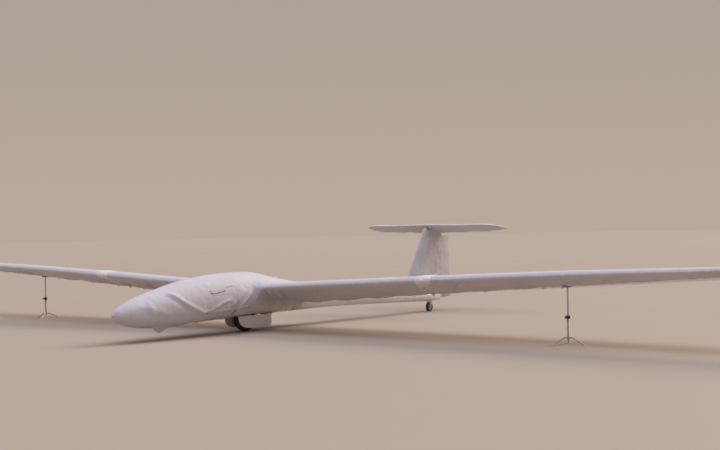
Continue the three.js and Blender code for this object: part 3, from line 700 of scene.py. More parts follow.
def seen_faces(hidden: np.ndarray) -> np.ndarray:
    """Which faces of a grid have a corner that isn't hidden."""
    return ~(hidden[1:, 1:] & hidden[:-1, 1:] & hidden[1:, :-1] & hidden[:-1, :-1])


@dataclass
class Sheet:
    """A sheet of cloth as a grid of points, with rows along it and columns across it."""

    name: str
    points: np.ndarray
    spine: int
    keep: np.ndarray | None = None
    hem_ends: bool = False
    thickness: float = 0.0024

    def build(self) -> Piece:
        """Makes the sheet with its thickness, its UV map in metres and its distance from the hem.

        Returns:
            The sheet.
        """
        rows, columns = self.points.shape[:2]
        steps = np.linalg.norm(np.diff(self.points, axis=1), axis=2)
        across = np.concatenate([np.zeros((rows, 1)), np.cumsum(steps, axis=1)], axis=1)
        gap = np.minimum(across, across[:, -1:] - across)
        across = across - across[:, self.spine:self.spine + 1]
        middle = self.points[:, self.spine]
        along = np.concatenate([[0], np.cumsum(np.linalg.norm(np.diff(middle, axis=0), axis=1))])
        if self.hem_ends:
            gap = np.minimum(gap, np.minimum(along, along[-1] - along)[:, None])
        index = np.arange(rows * columns).reshape(rows, columns)
        quads = np.stack([index[:-1, :-1], index[:-1, 1:], index[1:, 1:], index[1:, :-1]], axis=-1)
        quads = quads[self.keep] if self.keep is not None else quads.reshape(-1, 4)
        used, quads = np.unique(quads, return_inverse=True)
        quads = quads.reshape(-1, 4)
        mesh = bpy.data.meshes.new(self.name)
        mesh.from_pydata(self.points.reshape(-1, 3)[used].tolist(), [], quads.tolist())
        flat = np.stack([np.broadcast_to(along[:, None], gap.shape), across], axis=-1).reshape(-1, 2)[used]
        uv = mesh.uv_layers.new(name=CLOTH_UV)
        uv.data.foreach_set("uv", flat[quads.ravel()].astype(np.float32).ravel())
        attribute = mesh.attributes.new(HEM_GAP, "FLOAT", "POINT")
        attribute.data.foreach_set("value", gap.ravel()[used].astype(np.float32))
        piece = placed(self.name, mesh)
        apply_modifier(piece, "SOLIDIFY", thickness=self.thickness, offset=-1.0)
        smooth(piece, 50)
        return piece


def tube(name: str, points: np.ndarray, radius: float, sides: int = 2) -> Piece:
    """Makes a round cord with closed ends.

    Args:
        name: The piece's name.
        points: The points of its middle.
        radius: Its radius.
        sides: How finely it is rounded.

    Returns:
        The cord, as a mesh.
    """
    curve = bpy.data.curves.new(name, "CURVE")
    curve.dimensions = "3D"
    curve.bevel_depth = radius
    curve.bevel_resolution = sides
    curve.use_fill_caps = True
    spline = curve.splines.new("POLY")
    spline.points.add(len(points) - 1)
    spline.points.foreach_set("co", np.column_stack([points, np.ones(len(points))]).ravel())
    only(placed(name, curve))
    bpy.ops.object.convert(target="MESH")
    piece = bpy.context.view_layer.objects.active
    smooth(piece, 60)
    piece.data.uv_layers.new(name=CLOTH_UV)
    return piece


def across_line(middle: np.ndarray, sideways: np.ndarray, widths: np.ndarray,
                shares: np.ndarray) -> np.ndarray:
    """Lays out the points of a strap.

    Args:
        middle: Points down the middle of the strap.
        sideways: The direction across the strap at each point.
        widths: The strap's width at each point.
        shares: Places across the strap, from -0.5 to 0.5.

    Returns:
        The points, with a row for each point of the middle.
    """
    return middle[:, None] + sideways[:, None] * (widths[:, None] * shares)[..., None]


def ribbon(name: str, middle: np.ndarray, sideways: np.ndarray, width: float,
           thickness: float = 0.0022) -> Piece:
    """Makes a flat strap of one width down the line of its middle."""
    points = across_line(middle, sideways, np.full(len(middle), width), np.linspace(-0.5, 0.5, 5))
    return Sheet(name, points, 2, thickness=thickness).build()


def sew(name: str, line: np.ndarray, radius: float, material: Material, ride: Ride = ROOT) -> None:
    """Makes a piece of piping or cord along a line."""
    finish_piece(tube(name, line, radius), material, ride)


def joined(name: str, pieces: Sequence[Piece]) -> Piece:
    """Joins pieces into one.

    Args:
        name: The name of the whole.
        pieces: The pieces.

    Returns:
        The whole.
    """
    bpy.ops.object.select_all(action="DESELECT")
    for piece in pieces:
        piece.select_set(True)
    bpy.context.view_layer.objects.active = pieces[0]
    bpy.ops.object.join()
    pieces[0].name = name
    return pieces[0]


@dataclass(frozen=True)
class HullForm:
    """The fuselage's outer form."""

    stations: tuple[tuple[float, float, float, float], ...] = (
        # x, lowest z, highest z, half width
        (-3.500, 0.186, 0.332, 0.060),
        (-3.150, 0.184, 0.348, 0.072),
        (-2.400, 0.206, 0.388, 0.082),
        (-1.500, 0.232, 0.458, 0.097),
        (-0.600, 0.248, 0.548, 0.124),
        (0.000, 0.246, 0.640, 0.168),
        (0.450, 0.240, 0.712, 0.215),
        (0.850, 0.232, 0.782, 0.262),
        (1.150, 0.227, 0.846, 0.290),
        (1.450, 0.222, 0.872, 0.305),
        (1.800, 0.214, 0.872, 0.310),
        (2.250, 0.206, 0.842, 0.305),
        (2.700, 0.196, 0.784, 0.287),
        (3.100, 0.194, 0.697, 0.248),
        (3.450, 0.218, 0.608, 0.188),
        (3.720, 0.276, 0.514, 0.118),
        (3.840, 0.338, 0.447, 0.055),
        (3.880, 0.383, 0.407, 0.012),
    )
    widest: float = 0.48

    def section(self, x: np.ndarray) -> tuple[np.ndarray, np.ndarray, np.ndarray, np.ndarray]:
        """Reads the sections.

        Args:
            x: The stations.

        Returns:
            The middle's height, the heights below and above it, and the half width, at each station.
        """
        table = np.array(self.stations)
        rows = on_curve(table[:, 0], table[:, 1:], np.minimum(x, table[-1, 0]))
        low, high, half = np.moveaxis(rows, -1, 0)
        middle = low + self.widest * (high - low)
        return middle, middle - low, high - middle, half

    def point(self, x: np.ndarray, angle: np.ndarray, grow: np.ndarray | float) -> np.ndarray:
        """Points round the fuselage.

        Args:
            x: Stations, one for each row.
            angle: Angles from the keel by way of port, in rows and columns.
            grow: How far the points stand off the surface.

        Returns:
            The points, with x, y and z last.
        """
        middle, below, above, half = (v[:, None] for v in self.section(x))
        upright = np.where(np.cos(angle) > 0, below, above)
        normal = self.normal(x, angle)
        return np.stack([np.broadcast_to(x[:, None], angle.shape),
                         half * np.sin(angle) + grow * normal[..., 1],
                         middle - upright * np.cos(angle) + grow * normal[..., 2]], axis=-1)

    def normal(self, x: np.ndarray, angle: np.ndarray) -> np.ndarray:
        """Finds which way is out, straight across the fuselage.

        Args:
            x: Stations, one for each row.
            angle: Angles from the keel by way of port, in rows and columns.

        Returns:
            The unit directions.
        """
        _, below, above, half = (v[:, None] for v in self.section(x))
        upright = np.where(np.cos(angle) > 0, below, above)
        across = np.stack([np.zeros(angle.shape), np.sin(angle) / half, -np.cos(angle) / upright], axis=-1)
        return across / np.linalg.norm(across, axis=-1, keepdims=True)

    def angle_at(self, x: np.ndarray, z: np.ndarray) -> np.ndarray:
        """Finds places on the port side.

        Args:
            x: Their stations.
            z: Their heights.

        Returns:
            Their angles from the keel.
        """
        middle, below, above, _ = self.section(x)
        upright = np.where(z < middle, below, above)
        return np.arccos(np.clip((middle - z) / upright, -1, 1))

    def gap(self, place: np.ndarray) -> np.ndarray:
        """Measures how far places are from the fuselage.

        Args:
            place: The places.

        Returns:
            The distances, below zero inside it.
        """
        middle, below, above, half = self.section(place[..., 0])
        rise = place[..., 2] - middle
        upright = np.where(rise < 0, below, above)
        ratio = np.maximum(np.hypot(place[..., 1] / half, rise / upright), 1e-6)
        slope = np.hypot(place[..., 1] / half ** 2, rise / upright ** 2) / ratio
        return (ratio - 1) / np.maximum(slope, 1e-6)


@dataclass(frozen=True)
class WingForm:
    """The wing's outer form, from sections whose profile is given in chords."""

    stations: tuple[tuple[float, float, float, float, float], ...] = (
        # y, leading edge x, leading edge z, chord, incidence to the ground in degrees
        (0.1, 1.346, 0.640, 1.110, 13.0),
        (2.8, 1.324, 0.778, 1.010, 12.5),
        (5.3, 1.300, 0.890, 0.880, 12.0),
        (9.0, 1.262, 1.020, 0.470, 10.0),
    )
    profile: tuple[Pair, ...] = (
        # distance aft and height, from the trailing edge over the top and back below
        (1.000, 0.0025), (0.900, 0.0230), (0.800, 0.0430), (0.700, 0.0610), (0.550, 0.0850),
        (0.400, 0.0980), (0.250, 0.0970), (0.120, 0.0780), (0.050, 0.0530), (0.012, 0.0260),
        (0.000, 0.0000), (0.012, -0.0160), (0.050, -0.0310), (0.150, -0.0450), (0.300, -0.0460),
        (0.500, -0.0330), (0.700, -0.0140), (0.800, -0.0070), (0.900, -0.0040), (1.000, -0.0025),
    )
    nose_row: int = 10

    def section(self, y: np.ndarray) -> list[np.ndarray]:
        """Reads the sections.

        Args:
            y: The stations.

        Returns:
            The leading edge's x and z, the chord and the incidence in radians.
        """
        table = np.array(self.stations)
        columns = [np.interp(y, table[:, 0], table[:, i]) for i in range(1, 5)]
        return [*columns[:3], np.radians(columns[3])]

    def run(self) -> tuple[np.ndarray, np.ndarray]:
        """The profile's points and how far round it each lies, in chords."""
        table = np.array(self.profile)
        return table, np.concatenate([[0], np.cumsum(np.linalg.norm(np.diff(table, axis=0), axis=1))])

    def wrap(self, top: np.ndarray, low: np.ndarray, hem_at: np.ndarray,
             start: float = 1.0) -> tuple[np.ndarray, np.ndarray]:
        """The profile from a place on top, round the leading edge, to a hem below.

        Args:
            top: Shares from 0 at the start to 1 at the leading edge.
            low: Shares from 0 at the leading edge to 1 at the hem.
            hem_at: How far aft the hem lies at each station, in chords.
            start: How far aft the top begins, in chords.

        Returns:
            The points and their outward normals, in chords, for each station and column.
        """
        table, run = self.run()
        nose = run[self.nose_row]
        first = np.interp(-start, -table[:self.nose_row + 1, 0], run[:self.nose_row + 1])
        end = np.interp(hem_at, table[self.nose_row:, 0], run[self.nose_row:])[:, None]
        at = np.concatenate([np.broadcast_to(first + top * (nose - first), (len(hem_at), len(top))),
                             nose + low[None] * (end - nose)], axis=1)
        ahead, behind = on_curve(run, table, at + 1e-4), on_curve(run, table, at - 1e-4)
        tangent = (ahead - behind) / np.linalg.norm(ahead - behind, axis=-1, keepdims=True)
        return on_curve(run, table, at), np.stack([tangent[..., 1], -tangent[..., 0]], axis=-1)

    def turned(self, y: np.ndarray, flat: np.ndarray) -> np.ndarray:
        """Turns directions from each section into the frame.

        Args:
            y: Stations, one for each row.
            flat: The directions, as aft and up.

        Returns:
            The directions as x, y and z.
        """
        tilt = self.section(y)[3][:, None]
        aft, up = flat[..., 0], flat[..., 1]
        return np.stack([-aft * np.cos(tilt) - up * np.sin(tilt), np.zeros(aft.shape),
                         -aft * np.sin(tilt) + up * np.cos(tilt)], axis=-1)

    def place(self, y: np.ndarray, flat: np.ndarray, side: Side) -> np.ndarray:
        """Turns points from each section into the frame.

        Args:
            y: Stations, one for each row.
            flat: The points, as metres aft and up from the leading edge.
            side: Which wing they are on.

        Returns:
            The points.
        """
        lead_x, lead_z, _, _ = self.section(y)
        lead = np.stack([lead_x, side.value * y, lead_z], axis=-1)[:, None]
        return lead + self.turned(y, flat)

    def gap(self, place: np.ndarray) -> np.ndarray:
        """Measures how far places are from the wing on their own side.

        Args:
            place: The places.

        Returns:
            The distances, below zero inside it.
        """
        lead_x, lead_z, chord, tilt = self.section(np.abs(place[..., 1]))
        back, rise = lead_x - place[..., 0], place[..., 2] - lead_z
        at = np.stack([back * np.cos(tilt) - rise * np.sin(tilt),
                       back * np.sin(tilt) + rise * np.cos(tilt)], axis=-1) / chord[..., None]
        table = self.run()[0]
        best = np.full(at.shape[:-1], np.inf)
        for start, end in zip(table[:-1], table[1:]):
            way = end - start
            share = np.clip((at - start) @ way / (way @ way), 0, 1)
            best = np.minimum(best, np.linalg.norm(at - start - share[..., None] * way, axis=-1))
        top, low = table[self.nose_row::-1], table[self.nose_row:]
        inside = ((at[..., 1] < np.interp(at[..., 0], top[:, 0], top[:, 1], right=-1))
                  & (at[..., 1] > np.interp(at[..., 0], low[:, 0], low[:, 1], left=1)))
        return np.where(inside, -best, best) * chord


@dataclass(frozen=True)
class Hide:
    """How a sheet dives under its neighbour: from which push, over how far, how deep, and the most push."""

    start: float
    over: float
    depth: float
    reach: float


@dataclass(frozen=True)
class RootForm:
    """Fuselage and wings as one form with a soft corner between them, which the cloth bridges."""

    hull: HullForm = field(default_factory=HullForm)
    wing: WingForm = field(default_factory=WingForm)
    corner: float = 0.17
    near_both: float = 1.2
    rounds: int = 14

    def gap(self, place: np.ndarray) -> np.ndarray:
        """Measures how far places are from the bridged form.

        Args:
            place: The places.

        Returns:
            The distances.
        """
        hull, wing = self.hull.gap(place), self.wing.gap(place)
        overlap = np.maximum(self.corner - np.abs(hull - wing), 0)
        return np.minimum(hull, wing) - overlap ** 2 / (4 * self.corner)

    def reach(self, points: np.ndarray, normal: np.ndarray, level: float, hide: Hide) -> np.ndarray:
        """Pushes points out until they lie on the bridged form.

        Args:
            points: Points on the fuselage or on the wing.
            normal: The way each is pushed.
            level: How far off the form they end up.
            hide: How the points dive where the other form has swallowed them.

        Returns:
            How far each point is pushed.
        """
        out = np.full(points.shape[:-1], level)
        near = np.abs(self.hull.gap(points)) + np.abs(self.wing.gap(points)) < self.near_both
        some, way, far = points[near], normal[near], out[near]
        for _ in range(self.rounds):
            far = np.clip(far + 0.9 * (level - self.gap(some + way * far[:, None])), level, hide.reach)
        out[near] = far
        return out - hide.depth * step(out, hide.start, hide.start + hide.over)


@dataclass
class Studio:
    """The camera at the photo's viewing angle, the floor and the lights."""

    place: Triple = (15.876, 14.278, 1.631)
    azimuth: float = 129.6
    down: float = 0.234
    roll: float = 1.09
    lens: float = 68.15
    reach: float = 160.0
    sky_strength: float = 0.46
    horizon: Colour = (1.04, 0.86, 0.71)
    zenith: Colour = (0.42, 0.46, 0.60)

    def build(self) -> None:
        """Makes the camera, the floor, the lights and the sky."""
        self.camera()
        self.floor()
        self.lights()

    def camera(self) -> None:
        """Makes the camera."""
        data = bpy.data.cameras.new("camera")
        data.sensor_width = 36
        data.lens = self.lens
        data.clip_end = 2 * self.reach
        camera = placed("camera", data)
        turn = math.radians(self.azimuth)
        tilt = math.radians(-self.down)
        ahead = Vector((-math.sin(turn) * math.cos(tilt), math.cos(turn) * math.cos(tilt), math.sin(tilt)))
        facing = ahead.to_track_quat("-Z", "Y").to_matrix().to_4x4()
        camera.matrix_world = (Matrix.Translation(self.place) @ facing
                               @ Matrix.Rotation(math.radians(-self.roll), 4, "Z"))
        bpy.context.scene.camera = camera

    def floor(self) -> None:
        """Makes the floor."""
        bpy.ops.object.select_all(action="DESELECT")
        bpy.ops.mesh.primitive_circle_add(vertices=96, radius=self.reach, fill_type="NGON")
        floor = bpy.context.view_layer.objects.active
        floor.name = "floor"
        far = tuple(self.sky_strength * share for share in self.horizon)
        floor.data.materials.append(FloorFinish("floor", far).make())

    def lights(self) -> None:
        """Makes the soft lights and the sky's gradient."""
        lights = (
            # name, the way it comes from, spread in degrees, strength, colour
            ("key", (-12.0, 3.0, 8.0), 28, 2.2, (1.0, 0.82, 0.66)),
            ("top", (0.5, 1.0, 12.0), 70, 2.0, (0.82, 0.87, 1.0)),
            ("front", (14.0, -3.0, 3.0), 60, 0.45, (1.0, 0.62, 0.44)),
        )
        for name, way, spread, strength, colour in lights:
            data = bpy.data.lights.new(name, "SUN")
            data.angle = math.radians(spread)
            data.energy = strength
            data.color = colour
            placed(name, data).rotation_euler = (-Vector(way)).to_track_quat("-Z", "Y").to_euler()
        world = bpy.data.worlds.new("sky")
        world.use_nodes = True
        bpy.context.scene.world = world
        tree = world.node_tree
        background = tree.nodes["Background"]
        coords = tree.nodes.new("ShaderNodeTexCoord")
        split = tree.nodes.new("ShaderNodeSeparateXYZ")
        ramp = tree.nodes.new("ShaderNodeValToRGB")
        ramp.color_ramp.elements[0].position = 0.02
        ramp.color_ramp.elements[0].color = (*self.horizon, 1)
        ramp.color_ramp.elements[1].position = 0.7
        ramp.color_ramp.elements[1].color = (*self.zenith, 1)
        tree.links.new(coords.outputs["Generated"], split.inputs[0])
        tree.links.new(split.outputs[2], ramp.inputs[0])
        tree.links.new(ramp.outputs[0], background.inputs[0])
        background.inputs[1].default_value = self.sky_strength
        bpy.context.scene.view_settings.view_transform = "Standard"


@dataclass
class Airframe:
    """The bare shell: fuselage, wings, tail and control surfaces, smoothed over their facets."""

    finishes: Finishes
    smooth: float = 32.0
    shells: tuple[tuple[str, str], ...] = (
        # node, body
        ("fuselage_pod", "root"), ("tail_boom", "root"),
        ("wing_inner_left", "root"), ("wing_inner_right", "root"),
        ("wing_outer_left", "root"), ("wing_outer_right", "root"),
        ("aileron_left", "aileron_left"), ("aileron_right", "aileron_right"),
        ("fin", "root"), ("rudder", "rudder"), ("tailplane", "root"), ("elevator", "elevator"),
    )

    def build(self) -> None:
        """Makes the shells."""
        for node, body in self.shells:
            shell = merged_copy(node, f"{node}_shell", self.smooth)
            finish_piece(shell, self.finishes.gelcoat, Ride(body), [node])


def merged_copy(node: str, name: str, degrees: float) -> Piece:
    """Copies a node's mesh, merges its doubles and smooths it.

    Args:
        node: The node.
        name: The copy's name.
        degrees: The angle up to which edges are smooth.

    Returns:
        The copy.
    """
    piece = placed(name, frame["nodes"][node].data.copy())
    only(piece)
    bpy.ops.object.mode_set(mode="EDIT")
    bpy.ops.mesh.select_all(action="SELECT")
    bpy.ops.mesh.remove_doubles(threshold=0.00002)
    bpy.ops.object.mode_set(mode="OBJECT")
    smooth(piece, degrees)
    return piece


def soften(piece: Piece, width: float) -> None:
    """Rounds a piece's sharp edges and smooths it.

    Args:
        piece: The piece.
        width: The width of the rounding.
    """
    apply_modifier(piece, "BEVEL", width=width, segments=2, limit_method="ANGLE",
                   angle_limit=math.radians(40), harden_normals=False)
    smooth(piece, SMOOTH_METAL)


def remade(node: str, width: float, finish: Material, body: str = "root") -> None:
    """Stands in for a node with a copy whose edges are rounded.

    Args:
        node: The node.
        width: The width of the rounding, or 0 for none.
        finish: Its finish.
        body: What it moves with.
    """
    piece = merged_copy(node, f"{node}_made", SMOOTH_METAL)
    if width:
        soften(piece, width)
    finish_piece(piece, finish, Ride(body), [node])


@dataclass
class FuselageCover:
    """The cover over nose, canopy and turtle deck, with its hem, straps and loose flap."""

    finishes: Finishes
    form: RootForm = field(default_factory=RootForm)
    nose_x: float = 3.894
    round_from: float = 3.838
    rear_x: float = 0.190
    stand_off: float = 0.0060
    slack: float = 0.0035
    crowding: float = 1.3
    rear_fit: float = 0.16
    buried: float = -0.035
    rows: int = 300
    columns: int = 150
    hide: Hide = Hide(0.075, 0.045, 0.035, 0.16)
    notch: Pair = (1.802, 1.832)
    hem: tuple[Pair, ...] = (
        # x, angle of the hem up from the keel in degrees
        (0.19, 58), (0.55, 58), (0.65, 59), (0.90, 63), (1.20, 62.5), (1.39, 62), (1.59, 64.5),
        (1.68, 66.5), (1.802, 65.5), (1.832, 42), (2.06, 47), (2.20, 43.5), (2.41, 43.5),
        (2.51, 33.5), (2.69, 22), (2.80, 10), (3.10, 8), (3.45, 7), (3.62, 3), (3.76, 0.7), (3.90, 0.5),
    )
    piped_to: float = 2.8
    broad: Folds = Folds(0.003, (0.60, 0.34), 62)
    hanging: Folds = Folds(0.006, (0.13, 0.30), 30)
    gathered: Folds = Folds(0.010, (0.07, 0.25), 10)
    drawn: Folds = Folds(0.007, (0.16, 0.5), -48)
    scallop: float = 0.004
    starboard_shift: float = -0.07
    straps: tuple[Pair, ...] = ((2.39, 0.352), (1.82, 0.365))
    toggles: tuple[tuple[float, float, float, float], ...] = (
        # x and z of the lower end, x and z of the upper one
        (2.392, 0.338, 2.386, 0.372), (1.862, 0.302, 1.806, 0.366), (1.556, 0.378, 1.553, 0.400),
    )
    strap_width: float = 0.026
    deck_loop: tuple[Triple, ...] = (
        # x, y and height over the deck
        (0.70, 0.012, 0.0), (0.665, 0.035, 0.010), (0.640, 0.012, 0.014), (0.655, -0.012, 0.010),
        (0.70, 0.002, 0.002),
    )
    creases: tuple[Crease, ...] = (
        # lines as x and z down the port side
        Crease(((3.10, 0.662), (2.93, 0.589), (2.815, 0.514), (2.60, 0.417), (2.39, 0.358)), 0.014, 0.026),
        Crease(((2.70, 0.350), (2.40, 0.374), (2.32, 0.390), (2.21, 0.435), (2.09, 0.478), (1.88, 0.525)),
               0.013, 0.022),
        Crease(((2.36, 0.350), (2.20, 0.366), (2.02, 0.372), (1.84, 0.372)), 0.009, 0.016),
        Crease(((2.30, 0.330), (2.24, 0.380), (2.14, 0.425)), 0.007, 0.014),
        Crease(((1.82, 0.380), (1.70, 0.440), (1.60, 0.520), (1.50, 0.625)), 0.009, 0.020),
        Crease(((1.80, 0.372), (1.70, 0.398), (1.56, 0.400)), 0.007, 0.014),
        Crease(((1.55, 0.395), (1.47, 0.450), (1.41, 0.520), (1.37, 0.610)), 0.009, 0.018),
        Crease(((1.95, 0.400), (1.86, 0.450), (1.74, 0.545), (1.62, 0.660)), 0.007, 0.024),
        Crease(((2.04, 0.690), (1.94, 0.706), (1.85, 0.714)), 0.006, 0.012),
        Crease(((3.42, 0.560), (3.36, 0.450), (3.30, 0.330)), 0.007, 0.040),
        Crease(((3.62, 0.500), (3.45, 0.470), (3.22, 0.420), (3.00, 0.330)), 0.005, 0.034),
        Crease(((2.98, 0.240), (2.80, 0.262), (2.62, 0.300), (2.42, 0.345)), 0.008, 0.018),
    )
    zip_line: tuple[Pair, ...] = (
        (2.324, 0.643), (2.318, 0.618), (2.300, 0.609), (2.21, 0.617), (2.12, 0.629), (2.035, 0.642),
    )
    zip_lip: float = 0.030
    flap_front: float = 3.262
    flap_length: float = 0.318
    flap_top: float = 0.212
    flap_side: float = 0.088
    flap_low: tuple[Pair, ...] = (
        # share of the way aft, height of the lower edge
        (0.0, 0.190), (0.14, 0.150), (0.5, 0.102), (0.88, 0.165), (1.0, 0.195),
    )

    def hem_angle(self, x: np.ndarray) -> np.ndarray:
        """The hem's angle from the keel at each x, in radians."""
        table = np.array(self.hem)
        return np.radians(np.interp(x, table[:, 0], table[:, 1]))

    def on_sheet(self, line: Sequence[Sequence[float]], move: float) -> np.ndarray:
        """Lays a line of the port side out on the sheet.

        Args:
            line: The line's points, as x and z.
            move: How far ahead it is moved.

        Returns:
            Its places along and across the sheet.
        """
        table = np.array(line)
        x = table[:, 0] + move
        angle = self.form.hull.angle_at(x, table[:, 1])
        return np.column_stack([x, (angle - math.pi) * self.form.hull.section(x)[3]])

    def wrinkles(self, x: np.ndarray, angle: np.ndarray) -> np.ndarray:
        """Adds up the folds and creases.

        Args:
            x: Stations, one for each row.
            angle: Angles from the keel by way of port.

        Returns:
            How much further the cloth stands off at each place.
        """
        along = np.broadcast_to(x[:, None], angle.shape)
        across = (angle - math.pi) * self.form.hull.section(x)[3][:, None]
        down = 1 - np.abs(angle - math.pi) / (math.pi - self.hem_angle(x)[:, None])
        low = np.clip(1 - down * 2.4, 0, 1)
        rise = self.broad.rise(along, across, 3.1)
        rise += low * self.hanging.rise(along, across, 7.7)
        rise += low ** 3 * bell(along - 2.0, 0.55) * self.gathered.rise(along, across, 1.9)
        rise += bell(along - 1.05, 0.45) * self.drawn.rise(along, across, 5.3)
        rise += self.scallop * low * (1 - np.abs(np.sin(along * 9.0)))
        for side, move in ((Side.LEFT, 0.0), (Side.RIGHT, self.starboard_shift)):
            for crease in self.creases:
                rise += crease.rise(along, side.value * across, self.on_sheet(crease.line, move))
        return rise * step(self.nose_x - along, 0.05, 0.5)

    def build(self) -> None:
        """Makes the cover and what is sewn to it."""
        hull = self.form.hull
        share = np.linspace(0, 1, self.rows)
        x = self.nose_x - share ** self.crowding * (self.nose_x - self.rear_x)
        for edge in self.notch:
            x[np.argmin(np.abs(x - edge))] = edge
        hem = self.hem_angle(x)[:, None]
        angle = hem + (2 * math.pi - 2 * hem) * np.linspace(0, 1, self.columns)
        normal = hull.normal(x, angle)
        points = hull.point(x, angle, 0)
        level = self.stand_off + self.slack
        off = self.form.reach(points, normal, level, self.hide)
        rear = step(x, self.rear_x, self.rear_x + self.rear_fit)[:, None]
        points += normal * (level + (off - level) * rear)[..., None]
        points = raised(points, self.wrinkles(x, angle) * (0.3 + 0.7 * rear), normal)
        middle = hull.section(x)[0]
        close = np.clip((x - self.round_from) / (self.nose_x - self.round_from), 0, 1)
        shrink = np.sqrt(np.clip(1 - close ** 2, 0.0004, 1))[:, None]
        points[..., 1] *= shrink
        points[..., 2] = middle[:, None] + (points[..., 2] - middle[:, None]) * shrink
        keep = seen_faces(self.form.wing.gap(points) < self.buried)
        cloth = Sheet("fuselage_cover_cloth", points, self.columns // 2, keep).build()
        finish_piece(cloth, self.finishes.cloth, ROOT, ["fuselage_cover"])
        for side, column in ((Side.LEFT, 0), (Side.RIGHT, -1)):
            hem_line = points[x < self.piped_to, column]
            sew(f"fuselage_hem_{side.label}", hem_line, 0.0055, self.finishes.piping)
        sew("fuselage_rear_drawstring", points[-1], 0.0065, self.finishes.piping)
        self.ties()
        self.deck_toggle()
        self.zipper()
        self.flap()

    def on_cloth(self, x: np.ndarray, z: np.ndarray, side: Side, off: float) -> np.ndarray:
        """Places on the outside of the cover, given by x and z on one side."""
        angle = side.value * self.form.hull.angle_at(x, z)
        return self.form.hull.point(x, angle[:, None], off)[:, 0]

    def ties(self) -> None:
        """Makes the straps that pass under the belly and the dark toggles above the hem."""
        for number, (x, z) in enumerate(self.straps):
            reach = float(self.form.hull.angle_at(np.array([x]), np.array([z]))[0])
            share = np.linspace(-1, 1, 61)
            off = 0.004 + 0.010 * step(np.abs(share), 0.62, 0.95)
            middle = self.form.hull.point(np.full(61, x), share[:, None] * reach, off[:, None])[:, 0]
            strap = ribbon(f"belly_strap_{number}", middle, np.tile([1.0, 0, 0], (61, 1)), self.strap_width)
            finish_piece(strap, self.finishes.webbing, ROOT)
        toggles = []
        for low_x, low_z, high_x, high_z in self.toggles:
            x, z = np.linspace(low_x, high_x, 8), np.linspace(low_z, high_z, 8)
            for side in Side:
                toggles.append(tube("toggle", self.on_cloth(x, z, side, 0.020), 0.0065))
        finish_piece(joined("belly_toggles", toggles), self.finishes.elastic, ROOT)

    def deck_toggle(self) -> None:
        """Makes the small pale loop of cord on top of the turtle deck."""
        curve = smooth_line(self.deck_loop, 24)
        curve[:, 2] += self.form.hull.point(curve[:, 0], np.full((24, 1), math.pi), 0.014)[:, 0, 2]
        sew("deck_toggle", curve, 0.0075, self.finishes.piping)

    def zipper(self) -> None:
        """Makes the covered zip over the canopy's window, on the port side."""
        x, z = smooth_line(self.zip_line, 40).T
        sew("canopy_zip", self.on_cloth(x, z, Side.LEFT, 0.0145), PIPING, self.finishes.zip)
        lip = self.on_cloth(x, z + 0.017, Side.LEFT, 0.0165)
        up = self.on_cloth(x, z + 0.030, Side.LEFT, 0.0165) - lip
        up /= np.linalg.norm(up, axis=1, keepdims=True)
        cover = ribbon("canopy_zip_lip", lip, up, self.zip_lip, 0.003)
        finish_piece(cover, self.finishes.cloth, ROOT)

    def flap(self) -> None:
        """Makes the loose corner of cloth that hangs below the nose."""
        rows, columns = 18, 30
        u = np.linspace(0, 1, columns)
        v = np.linspace(0, 1, rows)[:, None]
        low_z = np.interp(u, *np.array(self.flap_low).T)
        sway = v * (0.020 * np.sin(6 * u + 1.2) - 0.008) + 0.004 * np.sin(23 * u + 2 * v)
        points = np.stack([self.flap_front - self.flap_length * u + 0.02 * v * (0.5 - u),
                           self.flap_side + sway, (1 - v) * self.flap_top + v * low_z], axis=-1)
        cloth = Sheet("nose_flap_cloth", points, columns // 2, thickness=0.002).build()
        finish_piece(cloth, self.finishes.cloth, ROOT, ["nose_flap"])


